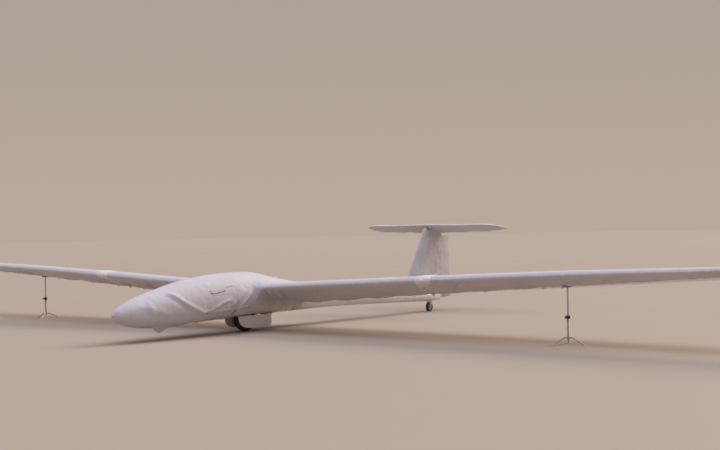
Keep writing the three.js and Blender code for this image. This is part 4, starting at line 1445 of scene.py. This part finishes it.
@dataclass
class WingCovers:
    """The covers over one wing: an inner one, and an outer one that also lies over the aileron."""

    finishes: Finishes
    side: Side
    form: RootForm = field(default_factory=RootForm)
    joint_y: float = 5.3
    root_y: float = 0.13
    fine_to: float = 1.25
    tip_y: float = 9.002
    tip_round: float = 0.040
    stand_off: float = 0.0045
    buried: float = -0.04
    hem_from: float = 0.42
    top_columns: int = 44
    low_columns: int = 40
    hide: Hide = Hide(0.105, 0.05, 0.035, 0.20)
    hem: tuple[Triple, ...] = (
        # y, how far aft the hem lies in chords, how far it sags
        (0.1, 0.64, 0.078), (1.3, 0.61, 0.076), (2.8, 0.53, 0.057), (4.0, 0.49, 0.045), (5.3, 0.44, 0.029),
        (6.36, 0.40, 0.018), (6.95, 0.31, 0.013), (9.0, 0.30, 0.008),
    )
    flutter: float = 0.004
    tuck: float = 0.018
    bend: Pair = (0.035, 0.05)
    tie_every: float = 0.62
    ties: tuple[float, ...] = (4.94, 5.22, 5.50, 5.81)
    broad: Folds = Folds(0.0035, (0.34, 0.6), 8)
    hanging: Folds = Folds(0.007, (0.12, 0.5), 14)
    gathered: Folds = Folds(0.008, (0.09, 0.45), 8)
    gathers: tuple[Pair, ...] = (
        # y of the middle of each gathered stretch, its width
        (2.5, 0.5), (3.5, 0.3), (5.5, 0.45), (7.2, 0.35),
    )
    creases: tuple[Crease, ...] = (
        # lines as y and distance aft along the underside, in chords
        Crease(((0.47, 0.01), (0.44, 0.10), (0.39, 0.22), (0.33, 0.34), (0.26, 0.46)), 0.026, 0.030, 0.9),
        Crease(((0.60, 0.03), (0.53, 0.16), (0.45, 0.30), (0.36, 0.42), (0.28, 0.52)), 0.022, 0.027, 0.9),
        Crease(((0.74, 0.05), (0.66, 0.20), (0.56, 0.34), (0.44, 0.48)), 0.013, 0.024, 0.8),
        Crease(((0.95, 0.05), (0.84, 0.22), (0.70, 0.38), (0.54, 0.52)), 0.008, 0.026, 0.8),
        Crease(((0.36, 0.02), (0.345, 0.12), (0.31, 0.24)), 0.010, 0.020, 0.8),
        Crease(((1.10, 0.40), (1.24, 0.24), (1.36, 0.08)), 0.006, 0.022),
        Crease(((1.92, 0.10), (1.78, 0.26), (1.70, 0.44)), 0.007, 0.016),
        Crease(((2.30, 0.04), (2.34, 0.24), (2.40, 0.44)), 0.008, 0.014),
        Crease(((2.62, 0.06), (2.60, 0.26), (2.54, 0.46)), 0.008, 0.013),
        Crease(((2.86, 0.04), (2.90, 0.20), (3.02, 0.44)), 0.009, 0.014),
        Crease(((3.72, 0.08), (3.60, 0.26), (3.44, 0.44)), 0.010, 0.018),
        Crease(((3.98, 0.04), (3.80, 0.20), (3.50, 0.42)), 0.008, 0.022),
        Crease(((4.62, 0.08), (4.80, 0.26), (4.93, 0.42)), 0.008, 0.018),
        Crease(((5.36, 0.06), (5.44, 0.24), (5.50, 0.38)), 0.008, 0.012),
        Crease(((5.66, 0.04), (5.60, 0.22), (5.52, 0.38)), 0.008, 0.014),
        Crease(((6.10, 0.06), (5.98, 0.22), (5.83, 0.36)), 0.007, 0.015),
        Crease(((7.05, 0.05), (7.12, 0.16), (7.22, 0.28)), 0.005, 0.013),
    )
    strap_y: float = 3.25
    strap_width: tuple[Pair, ...] = (
        # distance aft in chords, below zero on top; width
        (-0.75, 0.190), (-0.20, 0.200), (0.00, 0.270), (0.10, 0.190), (0.20, 0.075), (0.26, 0.045),
        (0.60, 0.040),
    )
    strap_lean: Pair = (0.05, -0.12)
    wing_rise: float = 0.045
    strap_knot: tuple[Triple, ...] = (
        (0.012, -0.020, 0.004), (0.0, -0.012, -0.012), (-0.004, 0.0, -0.016), (0.0, 0.012, -0.012),
        (0.012, 0.020, 0.004),
    )

    def hem_line(self, y: np.ndarray) -> tuple[np.ndarray, np.ndarray]:
        """Reads the hem.

        Args:
            y: Stations.

        Returns:
            How far aft it lies in chords, and how far it sags.
        """
        table = np.array(self.hem)
        at, sag = on_curve(table[:, 0], table[:, 1:], y).T
        return at, sag

    def shape(self, y: np.ndarray, seed: float, close: np.ndarray | None = None) -> np.ndarray:
        """The cloth's points.

        Args:
            y: Stations out from the middle.
            seed: A number that sets where the wrinkles fall.
            close: A share for each station by which the section is pulled together, as at the tip.

        Returns:
            The points in rows and columns.
        """
        top = 1 - np.linspace(1, 0, self.top_columns, endpoint=False) ** 1.5
        low = np.linspace(0, 1, self.low_columns + 1) ** 1.15
        hem_at, sag = self.hem_line(y)
        path, normal = self.form.wing.wrap(top, low, hem_at)
        chord = self.form.wing.section(y)[2][:, None]
        flat = path * chord[..., None]
        if close is not None:
            pull = close[:, None]
            line = -0.02 * flat[..., 0]
            flat[..., 1] = line + (flat[..., 1] - line) * (1 - pull)
            flat[..., 0] += (0.5 * chord - flat[..., 0]) * 0.03 * pull
        points = self.form.wing.place(y, flat, self.side)
        way = self.form.wing.turned(y, normal)
        points += way * self.form.reach(points, way, self.stand_off, self.hide)[..., None]
        points = raised(points, self.wrinkles(y, path, chord, seed), way)
        share = np.where(np.arange(path.shape[1]) > self.top_columns, path[..., 0] / hem_at[:, None], 0.0)
        ties = np.abs(np.sin(math.pi * y / self.tie_every))[:, None]
        for place in self.ties:
            ties = ties * (1 - bell(y - place, 0.07))[:, None]
        off_hull = step(y, 0.25, 0.6)[:, None]
        drop = sag[:, None] * share ** 2 * off_hull * (0.82 + 0.26 * ties) + self.flutter * share ** 4 * ties
        up = self.form.wing.turned(y, np.broadcast_to([0.0, 1.0], path.shape))
        ahead = self.form.wing.turned(y, np.broadcast_to([-1.0, 0.0], path.shape))
        tuck = self.tuck * share ** 6 * ties * off_hull
        return points - up * drop[..., None] + ahead * tuck[..., None]

    def wrinkles(self, y: np.ndarray, path: np.ndarray, chord: np.ndarray, seed: float) -> np.ndarray:
        """Adds up the folds and creases.

        Args:
            y: Stations, one for each row.
            path: The cloth's section at each station, in chords.
            chord: The chord at each station.
            seed: A number that sets where the folds fall.

        Returns:
            How much further the cloth stands off at each place.
        """
        along = np.repeat(y[:, None], path.shape[1], axis=1)
        below = (np.arange(path.shape[1]) >= self.top_columns)[None]
        across = np.where(below, 1, -1) * path[..., 0] * chord
        low = below * np.clip(path[..., 0] / 0.45, 0, 1)
        rise = self.broad.rise(along, across, seed)
        rise += low * self.hanging.rise(along, across, seed + 4)
        for place, width in self.gathers:
            rise += below * bell(along - place, width) * self.gathered.rise(along, across, place)
        for crease in self.creases:
            line = np.array(crease.line)
            line[:, 1] *= np.interp(line[:, 0], y, chord[:, 0])
            rise += crease.rise(along, across, line) * below * (1 + 0.7 * step(along, 1.1, 1.9))
        return rise

    def hinge_ride(self) -> Ride:
        """Gives the outer cover a ride with the aileron as its second body and points ahead of and behind
        the aileron's hinge.

        Returns:
            How it moves.
        """
        joint = next(j for j in frame["joints"] if j["name"] == f"aileron_{self.side.label}_hinge")
        place, axis = Vector(joint["pos_m"]), Vector(joint["axis"])
        ahead = axis.cross(Vector((0, 0, 1))).normalized()
        before, behind = self.bend
        return Ride("root", f"aileron_{self.side.label}", place + before * ahead, place - behind * ahead)

    def build(self) -> None:
        """Makes the covers, their strap and their ties."""
        hand = self.side.label
        inner_y = np.concatenate([np.arange(self.root_y, self.fine_to, 0.011),
                                  np.linspace(self.fine_to, self.joint_y + 0.006, 300)])
        points = self.shape(inner_y, 1.3 * self.side.value + 20)
        keep = seen_faces(self.form.hull.gap(points) < self.buried)
        inner = Sheet(f"wing_cloth_inner_{hand}", points, self.top_columns, keep).build()
        finish_piece(inner, self.finishes.cloth, ROOT, [f"wing_cover_inner_{hand}"])
        end_y = self.tip_y - self.tip_round
        outer_y = np.concatenate([np.linspace(self.joint_y - 0.004, end_y, 260)[:-1],
                                  end_y + self.tip_round * np.sin(np.linspace(0, math.pi / 2, 7))])
        round_off = np.clip((outer_y - end_y) / self.tip_round, 0, 1)
        outer_points = self.shape(outer_y, 2.9 * self.side.value + 40, 1 - np.sqrt(1 - round_off ** 2))
        outer = Sheet(f"wing_cloth_outer_{hand}", outer_points, self.top_columns).build()
        finish_piece(outer, self.finishes.cloth, self.hinge_ride(),
                     [f"wing_cover_outer_{hand}", f"aileron_cover_{hand}"])
        sew(f"wing_hem_inner_{hand}", points[inner_y > self.hem_from, -1], PIPING, self.finishes.piping)
        sew(f"wing_hem_outer_{hand}", outer_points[:-8, -1], PIPING, self.finishes.piping)
        self.tabs(inner_y, points)
        self.strap()

    def tabs(self, y: np.ndarray, points: np.ndarray) -> None:
        """Makes the small bows that tie the hem of the inner cover, as one piece.

        Args:
            y: The cover's stations.
            points: The cover's points.
        """
        knots = []
        rows = [(place, 0.6) for place in np.arange(0.93, self.joint_y, self.tie_every)]
        rows += [(place, 1.0) for place in self.ties if place < self.joint_y]
        for place, size in rows:
            at = points[int(np.argmin(np.abs(y - place))), -1]
            for turn in (-1, 0, 1):
                loop = [(0.0, 0.0, 0.004), (0.006, 0.012 * turn, -0.010), (0.002, 0.020 * turn, -0.024),
                        (-0.004, 0.010 * turn, -0.030 + 0.006 * abs(turn))]
                knots.append(tube("bow", at + size * smooth_line(loop, 10), 0.0042 * size))
        finish_piece(joined(f"hem_bows_{self.side.label}", knots), self.finishes.piping, ROOT)

    def strap(self) -> None:
        """Makes the wide strap round the wing, drawn in below and tied at the cover's hem."""
        y = np.array([self.strap_y])
        hem_at, sag = self.hem_line(y)
        top, low = np.linspace(0, 1, 45, endpoint=False), np.linspace(0, 1, 60)
        path, normal = self.form.wing.wrap(top, low, hem_at, start=0.75)
        chord = self.form.wing.section(y)[2][0]
        below = np.arange(path.shape[1]) > len(top)
        share = np.where(below, path[0, :, 0] / hem_at[0], 0)
        flat = path[0] * chord + normal[0] * 0.0115
        flat[:, 1] -= (sag[0] + 0.004) * share ** 2
        middle = self.form.wing.place(y, flat[None], self.side)[0]
        at = np.where(below, 1, -1) * path[0, :, 0]
        drawn = step(at, 0.0, 0.24)
        lean = self.strap_lean[0] + (self.strap_lean[1] - self.strap_lean[0]) * drawn
        middle[:, 1] += self.side.value * lean
        middle[:, 2] += self.wing_rise * lean
        widths = on_curve(*np.array(self.strap_width).T, at)
        sideways = np.tile([0.0, 1.0, self.wing_rise * self.side.value], (len(middle), 1))
        shares = np.linspace(-0.5, 0.5, 25)
        points = across_line(middle, sideways, widths, shares)
        pleats = 0.0035 * drawn[:, None] * np.cos(shares * 8 * math.pi)[None]
        pressed = 0.006 * (2 * shares[None]) ** 6
        points += self.form.wing.turned(y, normal)[0][:, None] * (pleats - pressed)[..., None]
        cloth = Sheet(f"tie_strap_{self.side.label}", points, 12, thickness=0.003).build()
        finish_piece(cloth, self.finishes.band, ROOT, [f"wing_strap_{self.side.label}"])
        knots = [tube("knot", middle[row] + np.array(self.strap_knot), 0.009, 4)
                 for row in (-1, int(np.argmin(np.abs(at - 0.25))))]
        finish_piece(joined(f"tie_knot_{self.side.label}", knots), self.finishes.band, ROOT)


@dataclass
class TailCovers:
    """The cover over fin and rudder, and the one over tailplane and elevator."""

    finishes: Finishes
    fin_low: float = 0.402
    fin_high: float = 1.430
    rudder_low: float = 0.236
    rudder_high: float = 1.306
    rudder_cover_high: float = 1.316
    hinge_x: float = -3.560
    end_low_x: float = -3.900
    end_high_x: float = -3.825
    base_z: float = 0.250
    top_z: float = 1.470
    lead_x: float = -2.411
    lead_slope: float = -0.607
    half_base: float = 0.066
    half_top: float = 0.044
    stand_off: float = 0.0045
    profile: tuple[Pair, ...] = (
        # share of the way from the leading edge to the hinge, share of the half thickness
        (0, 0), (0.025, 0.30), (0.1, 0.60), (0.25, 0.88), (0.45, 1.0), (0.75, 0.92), (1.0, 0.78),
    )
    fin_folds: Folds = Folds(0.006, (0.40, 0.30), 70)
    fin_gathered: Folds = Folds(0.008, (0.5, 0.09), 80)
    tail_folds: Folds = Folds(0.004, (0.22, 0.4), 12)
    tail_hanging: Folds = Folds(0.007, (0.10, 0.5), 6)
    fin_creases: tuple[Crease, ...] = (
        # lines as z and distance ahead of the rudder's trailing edge
        Crease(((1.00, 0.44), (0.86, 0.45), (0.74, 0.46), (0.62, 0.47)), 0.006, 0.012),
        Crease(((1.39, 0.33), (1.22, 0.35), (1.00, 0.37)), 0.004, 0.014, 0.2),
        Crease(((1.38, 0.60), (1.28, 0.50), (1.12, 0.42)), 0.009, 0.016),
        Crease(((1.38, 0.62), (1.22, 0.66), (1.00, 0.80), (0.80, 0.95)), 0.008, 0.022),
        Crease(((1.30, 0.10), (1.20, 0.20), (1.05, 0.30)), 0.006, 0.016),
        Crease(((0.42, 0.90), (0.56, 0.70), (0.66, 0.45)), 0.008, 0.022),
    )
    bow: tuple[tuple[Triple, ...], ...] = (
        # two loops and an end, from the knot
        ((0.0, 0.010, 0.0), (0.05, 0.016, -0.02), (0.075, 0.014, -0.055), (0.03, 0.014, -0.045),
         (0.0, 0.012, -0.008)),
        ((0.0, 0.010, 0.0), (-0.05, 0.016, -0.012), (-0.085, 0.014, -0.04), (-0.035, 0.014, -0.05),
         (0.0, 0.012, -0.01)),
        ((0.0, 0.013, -0.004), (0.012, 0.014, -0.06), (0.004, 0.013, -0.105)),
    )
    tail_hinge: Pair = (-3.590, 1.434)
    tail_tilt: float = 9.5
    tail_hem_at: float = 0.42
    tail_sag: float = 0.042
    fin_gap: float = 0.046
    tip_close: float = 0.006
    tail_rows: tuple[tuple[float, float, float, float], ...] = (
        # distance out, hinge to leading edge, hinge to trailing edge, half height
        (0.0, 0.442, 0.160, 0.038), (0.70, 0.377, 0.133, 0.030), (1.33, 0.318, 0.108, 0.023),
        (1.40, 0.262, 0.062, 0.014),
    )

    def rudder_end(self, z: np.ndarray) -> np.ndarray:
        """The rudder's trailing edge at each height, with the cover's small flare at its top."""
        share = (z - self.rudder_low) / (self.rudder_high - self.rudder_low)
        return self.end_low_x + share * (self.end_high_x - self.end_low_x) - 0.030 * step(z, 1.33, 1.40)

    def around(self, lead: float, wide: float, end: float, hinge: float, at: np.ndarray) -> np.ndarray:
        """Shapes a tail section with a round leading edge.

        Args:
            lead: Its leading edge.
            wide: Its greatest half thickness.
            end: Its trailing edge.
            hinge: Its hinge.
            at: Shares of its chord.

        Returns:
            Half its thickness at those shares.
        """
        table = np.array(self.profile)
        to_hinge = (lead - hinge) / (lead - end)
        knots = np.concatenate([table[:, 0] * to_hinge, [1.0]])
        heights = np.concatenate([table[:, 1] * wide, [0.003]])
        nose = heights[1] * np.sqrt(np.clip(at / knots[1], 0, 1))
        return np.where(at < knots[1], nose, np.interp(at, knots, heights))

    def fin_cloth(self) -> None:
        """Makes the cover over fin and rudder as one sheet."""
        z = np.linspace(self.fin_low, self.fin_high, 100)
        at = np.linspace(0, 1, 84) ** 1.7
        level = (z - self.base_z) / (self.top_z - self.base_z)
        lead = self.lead_x + self.lead_slope * (z - self.base_z)
        end = self.rudder_end(z)
        half = self.half_base + level * (self.half_top - self.half_base)
        wide = np.array([self.around(*row, self.hinge_x, at) for row in zip(lead, half, end)])
        ahead = lead[:, None] - at * (lead - end)[:, None]
        spine = len(at) - 1
        flat_x = np.concatenate([ahead[:, ::-1], ahead[:, 1:]], axis=1)
        flat_y = np.concatenate([wide[:, ::-1], -wide[:, 1:]], axis=1)
        along = np.repeat(z[:, None], flat_x.shape[1], axis=1)
        from_end = flat_x - end[:, None]
        edge = step(from_end, 0.0, 0.10)
        rise = self.fin_folds.rise(along, from_end, 12.4)
        rise += bell(along - self.fin_high, 0.14) * self.fin_gathered.rise(along, from_end, 4.4)
        for crease in self.fin_creases:
            rise += crease.rise(along, from_end, np.array(crease.line))
        tip = np.clip(1 - np.abs(np.arange(flat_x.shape[1]) - spine) / 6, 0, 1)
        grow = self.stand_off * (0.4 + 0.6 * edge) + rise * edge
        hand = np.sign(flat_y)
        points = np.stack([flat_x + tip * grow, flat_y + hand * grow * (1 - 0.5 * tip), along], axis=-1)
        aft = np.clip((self.hinge_x + 0.04 - points[..., 0]) / 0.06, 0, 1)
        share = (along - self.fin_low) / (self.fin_high - self.fin_low)
        top = self.fin_high - aft * (self.fin_high - self.rudder_cover_high)
        points[..., 2] = self.fin_low + share * (top - self.fin_low)
        points[..., 2] -= 0.012 * (1 - share) ** 8 * np.sin(from_end * 9) ** 2
        cloth = Sheet("fin_cloth", points, spine, hem_ends=True).build()
        ride = self.bend("rudder", self.hinge_x, 0.8, 0.04, 0.05)
        finish_piece(cloth, self.finishes.unsewn, ride, ["fin_cover", "rudder_cover"])
        for name, column, body, out in (("lead", spine, "root", 0.002), ("end", 0, "rudder", -0.002)):
            line = points[:, column] * (1, 0, 1) + (out, 0, 0)
            sew(f"fin_piping_{name}", line, 0.0055, self.finishes.piping, Ride(body))
        ring = points[-2, flat_x[-1] > self.hinge_x + 0.05]
        sew("fin_drawstring", ring + [0, 0, -0.004], 0.007, self.finishes.piping)
        self.knot(ring)

    def bend(self, body: str, x: float, z: float, before: float, behind: float) -> Ride:
        """A ride for a cover with the surface behind the fin or tailplane as its second body, and points
        ahead of and behind its hinge.
        """
        return Ride("root", body, Vector((x + before, 0, z)), Vector((x - behind, 0, z)))

    def knot(self, ring: np.ndarray) -> None:
        """Makes the drawstring's bow on the port side of the fin's top.

        Args:
            ring: The drawstring's points.
        """
        at = ring[int(len(ring) * 0.28)]
        cords = [tube("bow", at + smooth_line(loop, 16), 0.0055) for loop in self.bow]
        finish_piece(joined("fin_bow", cords), self.finishes.piping, ROOT)

    def tail_cloth(self) -> None:
        """Makes the cover over tailplane and elevator as one sheet."""
        table = np.array(self.tail_rows)
        reach = table[-1, 0]
        edge = reach + self.tip_close * np.sin(np.linspace(0, math.pi / 2, 6))
        y = np.concatenate([-edge[::-1], np.linspace(-reach, reach, 180)[1:-1], edge])
        ahead, behind, half = on_curve(table[:, 0], table[:, 1:], np.minimum(np.abs(y), reach)).T
        top = np.linspace(1, 0, 48) ** 1.7
        hem_at = self.tail_hem_at * ahead / (ahead + behind) * 1.9
        low = (np.linspace(0, 1, 28)[1:] ** 1.2)[None] * hem_at[:, None]
        shares = np.concatenate([np.broadcast_to(top, (len(y), len(top))), low], axis=1)
        sides = np.array([self.around(lead, wide, -trail, 0.0, at)
                          for lead, trail, wide, at in zip(ahead, behind, half, shares)])
        spine = len(top) - 1
        below = np.arange(shares.shape[1]) > spine
        sides = np.where(below, -sides, sides)
        forward = ahead[:, None] - shares * (ahead + behind)[:, None]
        along = np.repeat(y[:, None], shares.shape[1], axis=1)
        across = np.where(below, -1, 1) * shares
        rise = self.tail_folds.rise(along, across, 31.0)
        rise += below * self.tail_hanging.rise(along, across, 33.0)
        tip = np.clip(1 - np.abs(np.arange(shares.shape[1]) - spine) / 5, 0, 1)
        grow = self.stand_off + rise
        forward = forward + tip * grow
        up = sides + np.where(below, -1, 1) * grow * (1 - 0.6 * tip)
        ends = np.clip((np.abs(y) - reach) / self.tip_close, 0, 1)[:, None]
        up = up * np.sqrt(np.clip(1 - ends ** 2, 0.0004, 1))
        sag = self.tail_sag * (shares / low[:, -1:]) ** 1.6 * below
        sag = sag * np.clip(1 - (y / reach) ** 2, 0, 1)[:, None] ** 0.7
        up = up - sag * (0.85 + 0.15 * np.sin(along * 14))
        tilt = math.radians(self.tail_tilt)
        hinge_x, hinge_z = self.tail_hinge
        points = np.stack([hinge_x + forward * math.cos(tilt) - up * math.sin(tilt), along,
                           hinge_z + forward * math.sin(tilt) + up * math.cos(tilt)], axis=-1)
        under_fin = (np.abs(points[..., 1]) < self.fin_gap) & below[None] & (shares > 0.03)
        keep = ~(under_fin[:-1, :-1] & under_fin[1:, 1:])
        cloth = Sheet("tailplane_cloth", points, spine, keep).build()
        ride = self.bend("elevator", hinge_x, hinge_z, 0.03, 0.04)
        finish_piece(cloth, self.finishes.unsewn, ride, ["tailplane_cover", "elevator_cover"])
        sew("tailplane_piping", points[3:-3, spine] + (0.003, 0, 0), PIPING, self.finishes.piping)

    def build(self) -> None:
        """Makes both covers."""
        self.fin_cloth()
        self.tail_cloth()


@dataclass
class Gear:
    """Wheels, forks, axles, doors and door hinges."""

    finishes: Finishes
    parts: tuple[tuple[str, Slot, str, float], ...] = (
        # node, slot, body, width of the rounding on its edges
        ("gear_fork", Slot.ALLOY, "root", 0.0025), ("main_axle", Slot.STEEL, "root", 0.0015),
        ("main_rim", Slot.ALLOY, "main_wheel", 0.0015), ("tail_fork", Slot.ALLOY, "root", 0.0015),
        ("tail_axle", Slot.STEEL, "root", 0.001), ("tail_rim", Slot.ALLOY, "tail_wheel", 0.001),
        ("gear_door_hinge_left", Slot.STEEL, "root", 0.001),
        ("gear_door_hinge_right", Slot.STEEL, "root", 0.001),
        ("gear_door_left", Slot.GELCOAT, "gear_door_left", 0.002),
        ("gear_door_right", Slot.GELCOAT, "gear_door_right", 0.002),
    )
    main_centre: Triple = (1.35, 0.0, 0.19)
    tail_centre: Triple = (-3.24, 0.0, 0.082)
    door_hinge: Triple = (1.278, 0.138, 0.236)
    door_splay: float = 7.0
    bolt_count: int = 8
    bolt_ring: float = 0.062
    bolt_plane: float = 0.0315
    bolt_radius: float = 0.0065
    bolt_depth: float = 0.012

    def build(self) -> None:
        """Makes the gear."""
        for node, slot, body, width in self.parts:
            remade(node, width, self.finishes.of_slot(slot), body)
        self.tyre("main_tyre", self.main_centre, (0.112, 0.190, 0.064), 4, "main_wheel")
        self.tyre("tail_tyre", self.tail_centre, (0.046, 0.082, 0.024), 1, "tail_wheel")
        self.bolts()
        for side in Side:
            self.stiffener(side)

    def tyre(self, node: str, centre: Sequence[float], size: Triple, grooves: int,
             body: str) -> None:
        """Spins a tyre from its section, with straight grooves round the tread.

        Args:
            node: The node that it stands for.
            centre: The wheel's middle.
            size: Inner radius, outer radius and half width.
            grooves: How many grooves it has.
            body: What it turns with.
        """
        inner, outer, half = size
        wall = outer - inner
        turn = np.linspace(-1.32, 1.32, 60)
        across = half * np.sin(turn) / math.sin(1.5)
        radius = inner + 0.12 * wall + 0.88 * wall * np.cos(turn) ** 0.42
        spots = (np.arange(grooves) - (grooves - 1) / 2) * half * 0.30
        for spot in spots:
            radius -= 0.0045 * bell(across - spot, 0.0042)
        radius += 0.0016 * bell(np.abs(across) - half * 0.86, 0.0030)
        section = [(inner + 0.004, -half * 0.62), *zip(radius, across), (inner + 0.004, half * 0.62)]
        ring = [(i, (i + 1) % len(section)) for i in range(len(section))]
        mesh = bpy.data.meshes.new(f"{node}_made")
        mesh.from_pydata([(r, a, 0) for r, a in section], ring, [])
        piece = placed(f"{node}_made", mesh)
        only(piece)
        bpy.ops.object.mode_set(mode="EDIT")
        bpy.ops.mesh.select_all(action="SELECT")
        bpy.ops.mesh.spin(steps=96, angle=2 * math.pi, center=(0, 0, 0), axis=(0, 1, 0))
        bpy.ops.mesh.select_all(action="SELECT")
        bpy.ops.mesh.remove_doubles(threshold=0.00005)
        bpy.ops.mesh.normals_make_consistent(inside=False)
        bpy.ops.object.mode_set(mode="OBJECT")
        piece.data.transform(Matrix.Translation(centre))
        smooth(piece, 40)
        finish_piece(piece, self.finishes.rubber, Ride(body), [node])

    def bolts(self) -> None:
        """Makes the ring of bolts on either side of the main wheel's rim, as one piece."""
        bpy.ops.object.select_all(action="DESELECT")
        bpy.ops.mesh.primitive_cylinder_add(vertices=6, radius=self.bolt_radius, depth=self.bolt_depth)
        bolt = bpy.context.view_layer.objects.active
        soften(bolt, 0.001)
        across = Matrix.Rotation(math.pi / 2, 4, "X")
        parts = []
        for side in Side:
            for turn in np.arange(self.bolt_count) * 2 * math.pi / self.bolt_count:
                out = Vector((self.bolt_ring * math.cos(turn), side.value * self.bolt_plane,
                              self.bolt_ring * math.sin(turn)))
                part = placed("bolt", bolt.data.copy())
                part.data.transform(Matrix.Translation(Vector(self.main_centre) + out) @ across)
                parts.append(part)
        bpy.data.objects.remove(bolt)
        finish_piece(joined("main_rim_bolts", parts), self.finishes.steel, Ride("main_wheel"))

    def stiffener(self, side: Side) -> None:
        """Makes the pressed stiffener on a door's inner face.

        Args:
            side: Which door it is on.
        """
        bpy.ops.object.select_all(action="DESELECT")
        bpy.ops.mesh.primitive_cube_add(size=1)
        piece = bpy.context.view_layer.objects.active
        piece.name = f"gear_door_stiffener_{side.label}"
        piece.data.transform(Matrix.Diagonal((0.44, 0.006, 0.075, 1)))
        bpy.ops.object.mode_set(mode="EDIT")
        bpy.ops.mesh.select_all(action="DESELECT")
        bpy.ops.object.mode_set(mode="OBJECT")
        inward = -side.value
        for face in piece.data.polygons:
            face.select = face.normal.y * inward > 0.9
        bpy.ops.object.mode_set(mode="EDIT")
        bpy.ops.mesh.inset(thickness=0.012, depth=0.004)
        bpy.ops.mesh.inset(thickness=0.010, depth=-0.003)
        bpy.ops.object.mode_set(mode="OBJECT")
        soften(piece, 0.001)
        splay = Matrix.Rotation(math.radians(side.value * self.door_splay), 4, "X")
        x, y, z = self.door_hinge
        at_hinge = Matrix.Translation((x, side.value * y, z)) @ splay
        piece.data.transform(at_hinge @ Matrix.Translation((0, inward * 0.0062, -0.082)))
        finish_piece(piece, self.finishes.gelcoat, Ride(f"gear_door_{side.label}"))


@dataclass
class Stand:
    """One wing stand."""

    finishes: Finishes
    side: Side
    parts: tuple[tuple[str, Slot, float], ...] = (
        # name, slot, width of the rounding on its edges
        ("stand_base", Slot.ZINC, 0.0), ("stand_post", Slot.ZINC, 0.001), ("stand_clamp", Slot.PAD, 0.0015),
        ("stand_cradle", Slot.PAD, 0.004),
    )

    def build(self) -> None:
        """Makes the stand."""
        for name, slot, width in self.parts:
            finish = self.finishes.saddle if name == "stand_cradle" else self.finishes.of_slot(slot)
            remade(f"{name}_{self.side.label}", width, finish)


def main() -> None:
    """Builds the studio, then every sub-assembly in order."""
    logging.basicConfig(level=logging.INFO, format="%(message)s")
    finishes = Finishes()
    Studio().build()
    Airframe(finishes).build()
    FuselageCover(finishes).build()
    for side in Side:
        WingCovers(finishes, side).build()
        Stand(finishes, side).build()
    TailCovers(finishes).build()
    Gear(finishes).build()


if __name__ == "__main__":
    main()
